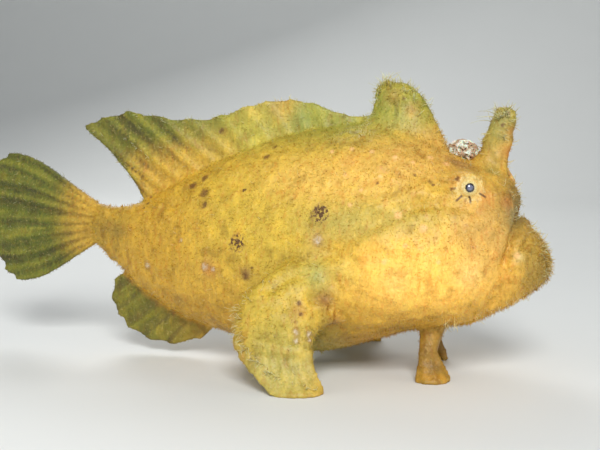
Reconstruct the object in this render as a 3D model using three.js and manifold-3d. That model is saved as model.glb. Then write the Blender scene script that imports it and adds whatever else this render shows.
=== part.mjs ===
// A frogfish at life size, standing on its paired fins, with its lure folded back between its dorsal spines.
// Millimetres. The fish faces +X, its left side is +Y, +Z is up, and z = 0 is the ground under its fins.
// The shape is laid out with x = 0 near mid-body, and the last lines centre the finished fish on its box.
// Names ending in _right and _left are the fish's own right and left.
import * as THREE from "three";
import { mergeVertices } from "three/addons/utils/BufferGeometryUtils.js";
import Module from "manifold-3d";

const wasm = await Module();
wasm.setup();

// Driving sizes
const GAP = 0.3; // clearance between pieces that meet
const EYE_RADIUS = 3.7;
const EYE_STANDS_OUT = 1.5; // how far the eyeball rises above the skin
const EYE_PLACE = { x: 49.8, z: 52.3 };
const EYE_AXIS = { x: 0.28, y: 0.95, z: 0.12 }; // where the left eye looks
const LID_THICKNESS = 0.8;
const LID_OPENING = 3.1; // radius of the ball that opens the lids in front of the pupil
// The upper and the lower lip. shift is how far each lies from the mouth's line, in rings of the body.
const LIPS = [
  { shift: -0.3, radius: 1.5 },
  { shift: 0.32, radius: 1.6 },
];
const LIP_CORNER = 0.3; // how far short of the corners a lip ends, in radians round the mouth
const LIP_THINNEST = 0.25; // share of a lip's radius that is left at its ends
const LIP_FORWARD = [0.95, 0, -0.3]; // the way a lip is rounded towards the front
const NOSTRIL = { radius: 0.8, rim: 0.45, pit: 0.55 };
const NOSTRILS = [
  { x: 56.2, z: 50.4 },
  { x: 59.4, z: 49.2 },
];
const GILL_PORE = { x: 14.6, z: 20.5, radius: 1.5 };
const PORE_RIM = 0.7;
const PORE_PIT = 1.1;
const TAIL_BEND = 0.0017; // the tail swings to the left by this times the square of the way past BEND_FROM
const BEND_FROM = -22;

// The body as rings from the tail's base to the chin. Each stands on the line from its top to its bottom point:
// top x, top z, bottom x, bottom z, half width, how far up it is widest, how lean its upper half is.
const BODY_RINGS = [
  [-66, 45.3, -66, 32.4, 2.6, 0.5, 1],
  [-58, 44.4, -60, 28.4, 4.1, 0.5, 1],
  [-50, 45.8, -52, 22, 6.8, 0.5, 1],
  [-39, 51, -41, 15, 11.2, 0.48, 1.05],
  [-25, 58, -27, 10.2, 16.2, 0.45, 1.1],
  [-9, 64.2, -10, 6.2, 20.6, 0.42, 1.12],
  [7, 68, 7, 4.6, 23.6, 0.4, 1.12],
  [22, 69, 22, 8.4, 25.6, 0.38, 1.08],
  [34, 66, 33, 12.2, 26, 0.36, 1],
  [44.5, 60.6, 41, 13.8, 24.6, 0.36, 0.92],
  [53.5, 57.4, 46.5, 14, 21.8, 0.38, 0.86],
  [59.3, 53.9, 50.5, 15.3, 18.8, 0.42, 0.86],
  [61, 48.6, 53, 16.4, 16.4, 0.48, 0.9],
  [61.6, 42, 55.5, 17.6, 15.2, 0.52, 0.92],
  [65, 40.2, 59.5, 19.6, 14.6, 0.52, 0.92],
  [68.4, 36.8, 63.6, 22.2, 11.4, 0.52, 0.95],
  [70.1, 32.2, 67.9, 25, 6.6, 0.52, 1],
  [70.6, 29.6, 70.4, 27.8, 1.6, 0.5, 1],
];
const MOUTH_RING = 13; // the ring that the mouth's line follows
const LOWER_FULLNESS = 0.9; // under 1 is fuller than an ellipse
const RINGS_BETWEEN = 2;
const BODY_SIDES = 36;
const HEAD_CUT = { top: [17, 72], bottom: [20, 2] }; // where the head ends and the trunk begins, as x and z
const TAIL_CUT = { top: [-47, 60], bottom: [-50, 10] };

// The fold over the swollen throat and gill chamber, from behind the arm to under the eye, as x and z
const THROAT_FOLD = [
  [-6, 27],
  [8, 30.5],
  [20, 36],
  [34, 43],
  [46, 44],
  [56, 40],
];
const THROAT_SWELL = 2.2;
const FOLD_WIDTH = 3.2;

// Fleshy dorsal spines as rings: front x, front z, back x, back z, half thickness
const SECOND_SPINE = [
  [59.6, 51.5, 47.5, 55.5, 2.9],
  [58.7, 56, 50.2, 59.8, 2.8],
  [59.2, 60.4, 51.7, 63.2, 2.4],
  [60.1, 64.8, 52.9, 67, 2.2],
  [60.9, 68.8, 54.3, 70.6, 2.1],
  [61.2, 71.8, 55.6, 72.8, 1.7],
  [60, 73.7, 57, 73.9, 0.7],
];
const THIRD_SPINE = [
  [45, 57, 15, 65, 6.4],
  [42.8, 62, 18.6, 69.6, 5.6],
  [40.6, 66.8, 20.8, 72, 4.8],
  [38, 71.8, 21.9, 74.8, 4],
  [35.4, 76.2, 22, 77.6, 3.2],
  [33.2, 78.6, 22.8, 79.8, 2.3],
  [29.4, 80.6, 24.8, 81.4, 0.9],
];

// Median fins ray by ray: root x, root z, tip x, tip z
const DORSAL_RAYS = [
  [20, 64.5, 20.6, 71.6],
  [15, 64, 13, 72.2],
  [10, 63.5, 4, 75.4],
  [5, 62.5, -3, 76.5],
  [0, 61.5, -10, 76],
  [-5, 60, -17, 74.4],
  [-10, 58, -25, 71.8],
  [-15, 56, -34, 70.9],
  [-20.5, 54, -44, 71.8],
  [-26, 51.5, -54, 73.4],
  [-31.5, 49, -63.5, 71.6],
  [-37, 46.5, -69.6, 68.8],
  [-42.5, 44, -60.6, 61.4],
  [-47.5, 42.5, -50.4, 49.8],
];
const CAUDAL_RAYS = [
  [-62, 43.5, -100, 60.6],
  [-62, 42.7, -104.6, 57.8],
  [-62, 41.8, -107.4, 52.8],
  [-62, 40.8, -109, 46.8],
  [-62, 39.5, -109.6, 40],
  [-62, 38.2, -108.8, 33.2],
  [-62, 37.1, -106.6, 27],
  [-62, 36.1, -103, 22],
  [-62, 35.2, -97.6, 19.4],
];
const CAUDAL_SPREAD = 2.6; // how far the outer rays bow away from the middle of the tail fin
const BOW_LATE = 1.7; // over 1 moves the bow out towards the tips
const ANAL_RAYS = [
  [-22, 14, -31, 5.2],
  [-27, 15.5, -39.5, 3.2],
  [-32, 17.5, -48, 4],
  [-37, 19.5, -55.5, 7.2],
  [-42, 22, -58.6, 11],
  [-46.5, 25, -60.8, 16],
  [-50, 28, -60.2, 21.6],
];

// The arm of the right pectoral fin as rings: front x, y, z, back x, y, z, half thickness
const ARM_RINGS = [
  [25, -13, 19, 15, -13, 37, 5.5],
  [18.5, -20, 17.5, 7.5, -21, 33.5, 6],
  [14, -26.5, 16, -0.5, -27.5, 29.2, 5.8],
  [12.2, -30, 14.6, -6.8, -31.2, 23.6, 5],
  [12, -32, 12, -9.2, -33.4, 16.6, 3.9],
  [12.2, -33.4, 8.8, -8.4, -35, 10.6, 2.7],
];
const ARM_HAND_CUT = { z: 12.4, lean: 0.16 }; // a nearly level cut across the wrist, rising towards the back
const GROUNDED = 0.1; // height of a fingertip's middle, so that its underside is cut flat on the ground
// A fan of finger-like rays: the wrist's front and back, and the line of its tips from front to back
const HAND = {
  rays: 10,
  wristFront: [11.2, -32.4, 12.4],
  wristBack: [-7.8, -34.2, 14],
  tips: [
    [15.6, -35, GROUNDED],
    [14.4, -38.4, GROUNDED],
    [10.4, -40.8, GROUNDED],
    [5, -41.2, GROUNDED],
    [0.2, -39.6, 3.6],
    [-6.6, -36.6, 8.8],
  ],
  rootHalf: 2.3,
  tipHalf: 0.8,
};
// The right pelvic fin, a short leg under the throat with its own fan of rays
const LEG_RINGS = [
  [44.6, -6, 20, 36, -6, 19, 3.2],
  [43.2, -9, 14.5, 36.8, -9.4, 13.8, 3],
  [41.8, -11.4, 9.6, 37, -12, 9, 2.4],
  [41.2, -12.8, 6.2, 37.2, -13.4, 5.8, 1.8],
];
const FOOT = {
  rays: 5,
  wristFront: [41.4, -11.8, 8.4],
  wristBack: [37.2, -12.6, 8],
  tips: [
    [45.4, -12, GROUNDED],
    [44.2, -16.4, GROUNDED],
    [40.2, -18.4, GROUNDED],
    [36.4, -16.6, GROUNDED],
  ],
  rootHalf: 1.7,
  tipHalf: 0.8,
};
const LEFT_STRIDE = { arm: 2, leg: -4 }; // how much further forward the left limbs reach

// The lure: a slender rod laid back beside the second spine, and its curled tassel
const ROD_RADIUS = 0.6;
const ROD_PATH = [
  [60, 2.4, 50],
  [60.2, 3.4, 53.4],
  [58, 4.6, 57],
  [54, 4.9, 60],
  [50.4, 3.4, 61.4],
  [47.4, 1, 62],
];
const TASSEL = { x: 46.4, y: -0.6, z: 61.9, radius: [3.5, 3.1, 2.7] };
const CURLS = {
  count: 12,
  length: [3.6, 4.8],
  radius: 0.62,
  top: 0.95, // height of the first root on a ball of radius 1
  down: 1.25, // how far below the first root the last one lies
  depth: 0.6, // share of the tassel's radius at which the curls are rooted
  out: 0.62, // shares of a curl's length that it reaches outwards and sideways
  aside: 0.55,
};

const COLOURS = { skin: 0xe0ae3c, fin: 0xc9a63a, lure: 0xd9d6c4, eye: 0xd8cf7a };

// Shapes from named sizes
const curve = (points) =>
  new THREE.CatmullRomCurve3(
    points.map((p) => new THREE.Vector3(...p)),
    false,
    "catmullrom",
    0.5,
  );
const power = (value, exponent) =>
  Math.sign(value) * Math.abs(value) ** exponent;
const mix = THREE.MathUtils.lerp;

// The tail's swing to one side, for every point behind BEND_FROM.
function bend(p) {
  const past = Math.max(0, BEND_FROM - p.x);
  return new THREE.Vector3(p.x, p.y + TAIL_BEND * past * past, p.z);
}

function geometryOf(points, faces) {
  const positions = points.flatMap((p) => bend(p).toArray());
  const geometry = new THREE.BufferGeometry();
  geometry.setAttribute(
    "position",
    new THREE.Float32BufferAttribute(positions, 3),
  );
  geometry.setIndex(faces);
  return geometry;
}

// A closed tube through rings: pointAt(t, angle) for t from 0 to 1, with both ends closed by a fan.
function loft(pointAt, along, around) {
  const points = [];
  const faces = [];
  for (let i = 0; i <= along; i++)
    for (let j = 0; j < around; j++)
      points.push(pointAt(i / along, (2 * Math.PI * j) / around));
  const id = (i, j) => i * around + (j % around);
  for (let i = 0; i < along; i++)
    for (let j = 0; j < around; j++)
      faces.push(
        ...[id(i, j), id(i, j + 1), id(i + 1, j + 1)],
        ...[id(i, j), id(i + 1, j + 1), id(i + 1, j)],
      );
  for (const i of [0, along]) {
    const middle = new THREE.Vector3();
    for (let j = 0; j < around; j++)
      middle.addScaledVector(points[id(i, j)], 1 / around);
    points.push(middle);
    for (let j = 0; j < around; j++) {
      const edge = [id(i, j), id(i, j + 1)];
      faces.push(points.length - 1, ...(i ? edge : edge.reverse()));
    }
  }
  return geometryOf(points, faces);
}

// A thin closed sheet, split into triangles alike on both faces. pointAt(u, v) is its middle surface,
// half(u, v) half its thickness, columns the values of u, and v runs from 0 to 1 in rows steps.
function sheet(pointAt, half, columns, rows) {
  const step = 1e-3;
  const points = [[], []];
  for (const u of columns)
    for (let i = 0; i <= rows; i++) {
      const v = i / rows;
      const across = pointAt(u + step, v).sub(pointAt(u - step, v));
      const down = pointAt(u, v + step).sub(pointAt(u, v - step));
      const normal = across.cross(down).normalize();
      const middle = pointAt(u, v);
      for (const [side, list] of points.entries())
        list.push(
          middle.clone().addScaledVector(normal, half(u, v) * (side ? -1 : 1)),
        );
    }
  const wide = rows + 1;
  const count = points[0].length;
  const faces = [];
  const quad = (a, b, c, d) => faces.push(a, b, c, a, c, d);
  for (let i = 0; i < columns.length - 1; i++)
    for (let j = 0; j < rows; j++) {
      const [a, b, c, d] = [
        i * wide + j,
        (i + 1) * wide + j,
        (i + 1) * wide + j + 1,
        i * wide + j + 1,
      ];
      faces.push(a, b, c, a, c, d);
      faces.push(count + a, count + c, count + b);
      faces.push(count + a, count + d, count + c);
    }
  const last = (columns.length - 1) * wide;
  for (let j = 0; j < rows; j++) {
    quad(j, j + 1, count + j + 1, count + j);
    quad(last + j + 1, last + j, count + last + j, count + last + j + 1);
  }
  for (let i = 0; i < columns.length - 1; i++) {
    const [a, b] = [i * wide, (i + 1) * wide];
    quad(b, a, count + a, count + b);
    quad(a + rows, b + rows, count + b + rows, count + a + rows);
  }
  return geometryOf([...points[0], ...points[1]], faces);
}

// Solids from geometry, and back
function solid(geometry) {
  const bare = geometry.clone();
  for (const name of ["normal", "uv"]) bare.deleteAttribute(name);
  const merged = mergeVertices(bare, 1e-4);
  const make = (triVerts) =>
    new wasm.Manifold(
      new wasm.Mesh({
        numProp: 3,
        vertProperties: merged.attributes.position.array,
        triVerts,
      }),
    );
  const corners = Uint32Array.from(merged.index.array);
  const made = make(corners);
  return made.volume() > 0 ? made : make(corners.reverse());
}

function largest(made) {
  return made.decompose().sort((a, b) => b.volume() - a.volume())[0];
}

function geometryFrom(made) {
  const mesh = made.getMesh();
  const positions = [];
  for (let i = 0; i < mesh.numVert; i++)
    positions.push(
      ...mesh.vertProperties.subarray(i * mesh.numProp, i * mesh.numProp + 3),
    );
  const geometry = new THREE.BufferGeometry();
  geometry.setAttribute(
    "position",
    new THREE.Float32BufferAttribute(positions, 3),
  );
  geometry.setIndex([...mesh.triVerts]);
  return geometry;
}

// The two sides of a cut across the fish, each half the gap away from it. front is the side towards +X.
function parted(made, cut) {
  const [top, bottom] = [cut.top, cut.bottom];
  const normal = new THREE.Vector3(
    top[1] - bottom[1],
    0,
    bottom[0] - top[0],
  ).normalize();
  const at = normal.x * top[0] + normal.z * top[1];
  return {
    front: largest(made.trimByPlane(normal.toArray(), at + GAP / 2)),
    back: largest(
      made.trimByPlane(normal.clone().negate().toArray(), -at + GAP / 2),
    ),
  };
}

// The body
const topLine = curve(BODY_RINGS.map((r) => [r[0], 0, r[1]]));
const bottomLine = curve(BODY_RINGS.map((r) => [r[2], 0, r[3]]));
const girth = curve(BODY_RINGS.map((r) => r.slice(4)));
const foldLine = curve(THROAT_FOLD.map(([x, z]) => [x, 0, z])).getPoints(40);

// How far the throat swells at a place on the side: full under the fold, none over it, fading to both ends.
function throatSwell(x, z) {
  const start = foldLine[0].x;
  const end = foldLine[foldLine.length - 1].x;
  if (x < start || x > end) return 0;
  const next = foldLine.findIndex((p) => p.x >= x);
  const [a, b] = [foldLine[Math.max(0, next - 1)], foldLine[next]];
  const foldZ = mix(a.z, b.z, b.x > a.x ? (x - a.x) / (b.x - a.x) : 0);
  const under = THREE.MathUtils.smoothstep(foldZ - z, -FOLD_WIDTH / 2, FOLD_WIDTH);
  const ends = Math.sin((Math.PI * (x - start)) / (end - start));
  return THROAT_SWELL * under * Math.sqrt(ends);
}

function bodyPoint(t, angle) {
  const top = topLine.getPoint(t);
  const bottom = bottomLine.getPoint(t);
  const shape = girth.getPoint(t);
  const middle = bottom.clone().lerp(top, shape.y);
  const upper = Math.sin(angle) > 0;
  const fullness = upper ? shape.z : LOWER_FULLNESS;
  const point = middle
    .clone()
    .lerp(upper ? top : bottom, Math.abs(Math.sin(angle)) ** fullness);
  const side = power(Math.cos(angle), fullness);
  point.y = side * (shape.x + throatSwell(point.x, point.z));
  return point;
}

const ringParameter = (ring) => ring / (BODY_RINGS.length - 1);
const bodyGeometry = loft(
  bodyPoint,
  (BODY_RINGS.length - 1) * RINGS_BETWEEN,
  BODY_SIDES,
);

// A copy of a geometry pushed out along its normals, which cuts what meets it.
function grown(geometry, by) {
  const bigger = geometry.clone();
  bigger.computeVertexNormals();
  const { position, normal } = bigger.attributes;
  const inward = solidSign(geometry);
  for (let i = 0; i < position.count; i++)
    position.setXYZ(
      i,
      position.getX(i) + by * inward * normal.getX(i),
      position.getY(i) + by * inward * normal.getY(i),
      position.getZ(i) + by * inward * normal.getZ(i),
    );
  return solid(bigger);
}

// 1 where a geometry's faces point outwards, or -1.
function solidSign(geometry) {
  const made = new wasm.Manifold(
    new wasm.Mesh({
      numProp: 3,
      vertProperties: geometry.attributes.position.array,
      triVerts: Uint32Array.from(geometry.index.array),
    }),
  );
  return Math.sign(made.volume());
}

const body = solid(bodyGeometry);
let cutter = grown(bodyGeometry, GAP);
const bodyMesh = new THREE.Mesh(
  bodyGeometry,
  new THREE.MeshBasicMaterial({ side: THREE.DoubleSide }),
);

// The point of the skin seen from the side at x and z, and its outward direction. side is -1 for the right.
function skinAt({ x, z }, side) {
  const far = 100;
  const ray = new THREE.Raycaster(
    new THREE.Vector3(x, side * far, z),
    new THREE.Vector3(0, -side, 0),
  );
  const hit = ray.intersectObject(bodyMesh)[0];
  const out = hit.face.normal.clone();
  if (out.y * side < 0) out.negate();
  return { point: hit.point, out };
}

// A lip along the mouth, thickest in the middle and running out at the corners.
function lip({ shift, radius }) {
  const t = ringParameter(MOUTH_RING + shift);
  return solid(
    loft(
      (s, angle) => {
        const round = mix(LIP_CORNER, Math.PI - LIP_CORNER, s);
        const middle = bodyPoint(t, round);
        const centre = bottomLine.getPoint(t).lerp(topLine.getPoint(t), 0.5);
        const out = middle.clone().sub(centre).normalize();
        const thick = radius * mix(LIP_THINNEST, 1, Math.sin(Math.PI * s) ** 0.6);
        return middle
          .addScaledVector(out, thick * Math.cos(angle))
          .addScaledVector(new THREE.Vector3(...LIP_FORWARD), thick * Math.sin(angle));
      },
      18,
      8,
    ),
  );
}

// A ring of skin lying on the side of the fish, such as an eyelid or the rim of a pore.
function skinRing(place, side, radius, thick, sides, stepsRound) {
  const { point, out } = skinAt(place, side);
  const ring = new THREE.TorusGeometry(radius, thick, sides, stepsRound);
  ring.applyQuaternion(
    new THREE.Quaternion().setFromUnitVectors(new THREE.Vector3(0, 0, 1), out),
  );
  ring.translate(...point.toArray());
  return solid(ring);
}

function ball(centre, radius, wide, high) {
  const sphere = new THREE.SphereGeometry(radius, wide, high);
  sphere.translate(...centre.toArray());
  return solid(sphere);
}

const SIDES = { right: -1, left: 1 };
const eyes = {};
let flesh = body;
for (const sizes of LIPS) flesh = flesh.add(lip(sizes));
for (const [name, side] of Object.entries(SIDES)) {
  const axis = new THREE.Vector3(EYE_AXIS.x, EYE_AXIS.y * side, EYE_AXIS.z).normalize();
  const centre = skinAt(EYE_PLACE, side).point;
  centre.addScaledVector(axis, EYE_STANDS_OUT - EYE_RADIUS);
  const socket = EYE_RADIUS + GAP;
  const lids = socket + LID_THICKNESS;
  eyes[name] = ball(centre, EYE_RADIUS, 16, 10);
  flesh = flesh
    .add(ball(centre, lids, 16, 10))
    .subtract(ball(centre, socket, 16, 10))
    .subtract(ball(centre.clone().addScaledVector(axis, lids), LID_OPENING, 16, 10));
  for (const nostril of NOSTRILS)
    flesh = flesh
      .add(skinRing(nostril, side, NOSTRIL.radius, NOSTRIL.rim, 5, 8))
      .subtract(ball(skinAt(nostril, side).point, NOSTRIL.pit, 6, 4));
  flesh = flesh
    .add(skinRing(GILL_PORE, side, GILL_PORE.radius, PORE_RIM, 5, 12))
    .subtract(ball(skinAt(GILL_PORE, side).point, PORE_PIT, 8, 6));
  cutter = cutter.add(
    skinRing(GILL_PORE, side, GILL_PORE.radius, PORE_RIM + GAP, 6, 12),
  );
}
const mouthCut = {
  top: BODY_RINGS[MOUTH_RING].slice(0, 2),
  bottom: BODY_RINGS[MOUTH_RING].slice(2, 4),
};
const { front: lowerJaw, back: behindMouth } = parted(flesh, mouthCut);
const { front: head, back: behindHead } = parted(behindMouth, HEAD_CUT);
const { front: torso, back: tail } = parted(behindHead, TAIL_CUT);

// Fleshy spines on the back
function spineGeometry(rings, along, around) {
  const front = curve(rings.map((r) => [r[0], 0, r[1]]));
  const back = curve(rings.map((r) => [r[2], 0, r[3]]));
  const thick = curve(rings.map((r) => [r[4], 0, 0]));
  return loft(
    (t, angle) => {
      const point = back
        .getPoint(t)
        .lerp(front.getPoint(t), 0.5 + 0.5 * Math.sin(angle));
      point.y = thick.getPoint(t).x * Math.cos(angle);
      return point;
    },
    along,
    around,
  );
}

// Fins of rays joined by skin
const RIDGE_FOOT = 0.2; // half a ray's width, as a share of the way to the next ray
function rayColumns(count) {
  const columns = [0];
  for (let ray = 0; ray < count; ray++)
    columns.push(
      ...[ray - RIDGE_FOOT, ray, ray + RIDGE_FOOT].filter(
        (u) => u > 0 && u < count - 1,
      ),
    );
  return [...columns, count - 1];
}

// 1 on a ray and 0 between rays.
const onRay = (u) => Math.max(0, 1 - Math.abs(u - Math.round(u)) / RIDGE_FOOT);

const RIPPLE = { across: 1.9, outward: 2 }; // radians of a fin's waves from ray to ray, and from root to tip
function medianFin(rays, { rows, skinHalf, rayHalf, edge, wave, scallop, spread }) {
  const roots = curve(rays.map((r) => [r[0], 0, r[1]]));
  const tips = curve(rays.map((r) => [r[2], 0, r[3]]));
  const last = rays.length - 1;
  const pointAt = (u, v) => {
    const reach = v * (1 - scallop * Math.sin(Math.PI * u) ** 2 * v);
    const share = THREE.MathUtils.clamp(u / last, 0, 1);
    const point = roots.getPoint(share).lerp(tips.getPoint(share), reach);
    const bow =
      spread * (1 - 2 * share) * Math.sin(Math.PI * Math.max(0, reach) ** BOW_LATE);
    point.z += bow;
    point.y += wave * reach * Math.sin(u * RIPPLE.across + reach * RIPPLE.outward);
    return point;
  };
  const half = (u, v) =>
    mix(skinHalf, edge, v) + mix(rayHalf, edge, v) * onRay(u);
  return solid(sheet(pointAt, half, rayColumns(rays.length), rows));
}

// Arms, legs and their fans of finger-like rays. side is -1 for the right, and stride moves the ground end ahead.
const LIMB_ROUNDING = 0.85; // under 1 is squarer than an ellipse
function limbRings(rings, side, stride, along, around) {
  const front = curve(rings.map((r) => r.slice(0, 3)));
  const back = curve(rings.map((r) => r.slice(3, 6)));
  const thick = curve(rings.map((r) => [r[6], 0, 0]));
  const path = (t) => front.getPoint(t).lerp(back.getPoint(t), 0.5);
  return solid(
    loft(
      (t, angle) => {
        const [a, b] = [front.getPoint(t), back.getPoint(t)];
        const onward = path(Math.min(1, t + 0.01)).sub(path(Math.max(0, t - 0.01)));
        const flat = a.clone().sub(b).cross(onward).normalize();
        const point = b.lerp(a, 0.5 + 0.5 * power(Math.sin(angle), LIMB_ROUNDING));
        const thickness = thick.getPoint(t).x * power(Math.cos(angle), LIMB_ROUNDING);
        point.addScaledVector(flat, thickness);
        point.x += stride * t * t;
        point.y *= -side;
        return point;
      },
      along,
      around,
    ),
  );
}

// A finger's bends, as shares of its length. The knuckle's height is a share of the wrist's, and lift is in mm.
const KNUCKLE = { along: 0.3, height: 0.42 };
const TOE = { along: 0.72, lift: 0.6 };
const WEBBING = 0.1; // how far the skin between two fingers stops short of their tips
const ROOT_WEB = 0.62; // thickness of the skin between fingers, as a share of a finger's, at the wrist
const TIP_WEB = 0.5; // and at the tips
const ROOT_STRIDE = 0.7; // share of a limb's stride that its wrist has already made
function fan(sizes, side, stride, rows) {
  const last = sizes.rays - 1;
  const tips = curve(sizes.tips);
  const pointAt = (u, v) => {
    const share = THREE.MathUtils.clamp(u / last, 0, 1);
    const wrist = new THREE.Vector3(...sizes.wristFront).lerp(
      new THREE.Vector3(...sizes.wristBack),
      share,
    );
    const tip = tips.getPoint(share);
    const reach = v * (1 - WEBBING * Math.sin(Math.PI * u) ** 2 * v);
    const knuckle = wrist.clone().lerp(tip, KNUCKLE.along);
    knuckle.z = mix(tip.z, wrist.z, KNUCKLE.height);
    const toe = wrist.clone().lerp(tip, TOE.along);
    toe.z = tip.z + TOE.lift;
    const path = new THREE.CubicBezierCurve3(wrist, knuckle, toe, tip);
    const point = path.getPoint(THREE.MathUtils.clamp(reach, 0, 1));
    if (reach < 0) point.addScaledVector(path.getTangent(0), reach * wrist.z);
    if (reach > 1) point.addScaledVector(path.getTangent(1), reach - 1);
    point.x += stride * mix(ROOT_STRIDE, 1, reach);
    point.y *= -side;
    return point;
  };
  const half = (u, v) =>
    mix(sizes.rootHalf * ROOT_WEB, sizes.tipHalf * TIP_WEB, v) +
    mix(sizes.rootHalf * (1 - ROOT_WEB), sizes.tipHalf * (1 - TIP_WEB), v) * onRay(u);
  return solid(sheet(pointAt, half, rayColumns(sizes.rays), rows));
}

const ABOVE_GROUND = [[0, 0, 1], 0];
function armAndHand(side, stride) {
  const joined = limbRings(ARM_RINGS, side, stride, 12, 18)
    .add(fan(HAND, side, stride, 6))
    .subtract(cutter)
    .trimByPlane(...ABOVE_GROUND);
  const up = new THREE.Vector3(ARM_HAND_CUT.lean, 0, 1).normalize();
  const at = up.z * ARM_HAND_CUT.z;
  return {
    arm: largest(joined.trimByPlane(up.toArray(), at + GAP / 2)),
    hand: largest(
      joined.trimByPlane(up.clone().negate().toArray(), -at + GAP / 2),
    ),
  };
}

function leg(side, stride) {
  return largest(
    limbRings(LEG_RINGS, side, stride, 8, 14)
      .add(fan(FOOT, side, stride, 5))
      .subtract(cutter)
      .trimByPlane(...ABOVE_GROUND),
  );
}

// The rod and tassel of the lure
function taperedRod(points, radiusAt, along, around) {
  const path = curve(points);
  return solid(
    loft(
      (t, angle) => {
        const ahead = path.getTangent(Math.min(0.999, Math.max(0.001, t)));
        const across = new THREE.Vector3(0, 1, 0).cross(ahead);
        if (across.lengthSq() < 1e-3) across.set(1, 0, 0).cross(ahead);
        across.normalize();
        const other = ahead.clone().cross(across);
        const radius = radiusAt(t);
        return path
          .getPoint(t)
          .addScaledVector(across, radius * Math.cos(angle))
          .addScaledVector(other, radius * Math.sin(angle));
      },
      along,
      around,
    ),
  );
}

function lureTassel() {
  const middle = new THREE.Vector3(TASSEL.x, TASSEL.y, TASSEL.z);
  const core = new THREE.SphereGeometry(1, 8, 6);
  core.scale(...TASSEL.radius);
  core.translate(...middle.toArray());
  let made = solid(core);
  const goldenAngle = Math.PI * (3 - Math.sqrt(5));
  for (let i = 0; i < CURLS.count; i++) {
    const height = CURLS.top - (CURLS.down * i) / CURLS.count;
    const turn = i * goldenAngle;
    const flat = Math.sqrt(1 - height * height);
    const out = new THREE.Vector3(flat * Math.cos(turn), flat * Math.sin(turn), height);
    const root = middle.clone().add(
      out.clone().multiply(new THREE.Vector3(...TASSEL.radius)).multiplyScalar(CURLS.depth),
    );
    const sideways = new THREE.Vector3(-out.y, out.x, 0.1).normalize();
    const reach = mix(...CURLS.length, Math.abs(Math.sin(i * goldenAngle)));
    const points = [0, 0.35, 0.7, 1].map((s) =>
      root
        .clone()
        .addScaledVector(out, reach * CURLS.out * Math.sin((s * Math.PI) / 1.4))
        .addScaledVector(sideways, reach * CURLS.aside * s * s)
        .toArray(),
    );
    made = made.add(
      taperedRod(points, (t) => CURLS.radius * (1 - 0.7 * t * t), 4, 5),
    );
  }
  return made;
}

// Everything that grows from the body, cut clear of it and of what it stands beside
const secondSpineShape = spineGeometry(SECOND_SPINE, 12, 14);
const thirdSpineShape = spineGeometry(THIRD_SPINE, 12, 16);
const secondSpine = largest(solid(secondSpineShape).subtract(cutter));
const thirdSpine = largest(solid(thirdSpineShape).subtract(cutter));
const rod = largest(
  taperedRod(ROD_PATH, () => ROD_RADIUS, 14, 6)
    .subtract(cutter)
    .subtract(grown(secondSpineShape, GAP)),
);
const lure = largest(
  lureTassel()
    .subtract(cutter)
    .subtract(grown(secondSpineShape, GAP))
    .subtract(grown(thirdSpineShape, GAP))
    .subtract(taperedRod(ROD_PATH, () => ROD_RADIUS + GAP, 14, 6)),
);

const dorsalFin = largest(
  medianFin(DORSAL_RAYS, {
    rows: 7,
    skinHalf: 1.5,
    rayHalf: 0.9,
    edge: 0.32,
    wave: 0.5,
    scallop: 0.05,
    spread: 0,
  })
    .subtract(cutter)
    .subtract(grown(thirdSpineShape, GAP)),
);
const caudalFin = largest(
  medianFin(CAUDAL_RAYS, {
    rows: 7,
    skinHalf: 1.7,
    rayHalf: 0.8,
    edge: 0.32,
    wave: 0.7,
    scallop: 0.05,
    spread: CAUDAL_SPREAD,
  }).subtract(cutter),
);
const analFin = largest(
  medianFin(ANAL_RAYS, {
    rows: 5,
    skinHalf: 1.5,
    rayHalf: 0.8,
    edge: 0.32,
    wave: 0.4,
    scallop: 0.07,
    spread: 0,
  }).subtract(cutter),
);

const group = new THREE.Group();
function place(name, made, colour) {
  const mesh = new THREE.Mesh(
    geometryFrom(made),
    new THREE.MeshStandardMaterial({ color: colour, roughness: 0.6, metalness: 0 }),
  );
  mesh.name = name;
  group.add(mesh);
}

place("head", head, COLOURS.skin);
place("lower_jaw", lowerJaw, COLOURS.skin);
place("torso", torso, COLOURS.skin);
place("tail", tail, COLOURS.skin);
place("second_dorsal_spine", secondSpine, COLOURS.skin);
place("third_dorsal_spine", thirdSpine, COLOURS.skin);
place("fishing_rod", rod, COLOURS.lure);
place("lure", lure, COLOURS.lure);
place("dorsal_fin", dorsalFin, COLOURS.fin);
place("caudal_fin", caudalFin, COLOURS.fin);
place("anal_fin", analFin, COLOURS.fin);
for (const [name, side] of Object.entries(SIDES)) {
  const ahead = side > 0 ? LEFT_STRIDE : { arm: 0, leg: 0 };
  const { arm, hand } = armAndHand(side, ahead.arm);
  place(`eye_${name}`, eyes[name], COLOURS.eye);
  place(`pectoral_arm_${name}`, arm, COLOURS.skin);
  place(`pectoral_fin_${name}`, hand, COLOURS.fin);
  place(`pelvic_fin_${name}`, leg(side, ahead.leg), COLOURS.fin);
}

const box = new THREE.Box3().setFromObject(group);
const middle = box.getCenter(new THREE.Vector3());
group.position.set(-middle.x, -middle.y, 0);

export default group;
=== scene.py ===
"""A museum model of a frogfish in the studio: one skin over body and fins, its coat, eyes and lure."""

import math
import random

import bmesh
import bpy
import numpy as np
from mathutils import Matrix, Vector, noise
from mathutils.bvhtree import BVHTree
from mathutils.kdtree import KDTree


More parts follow.
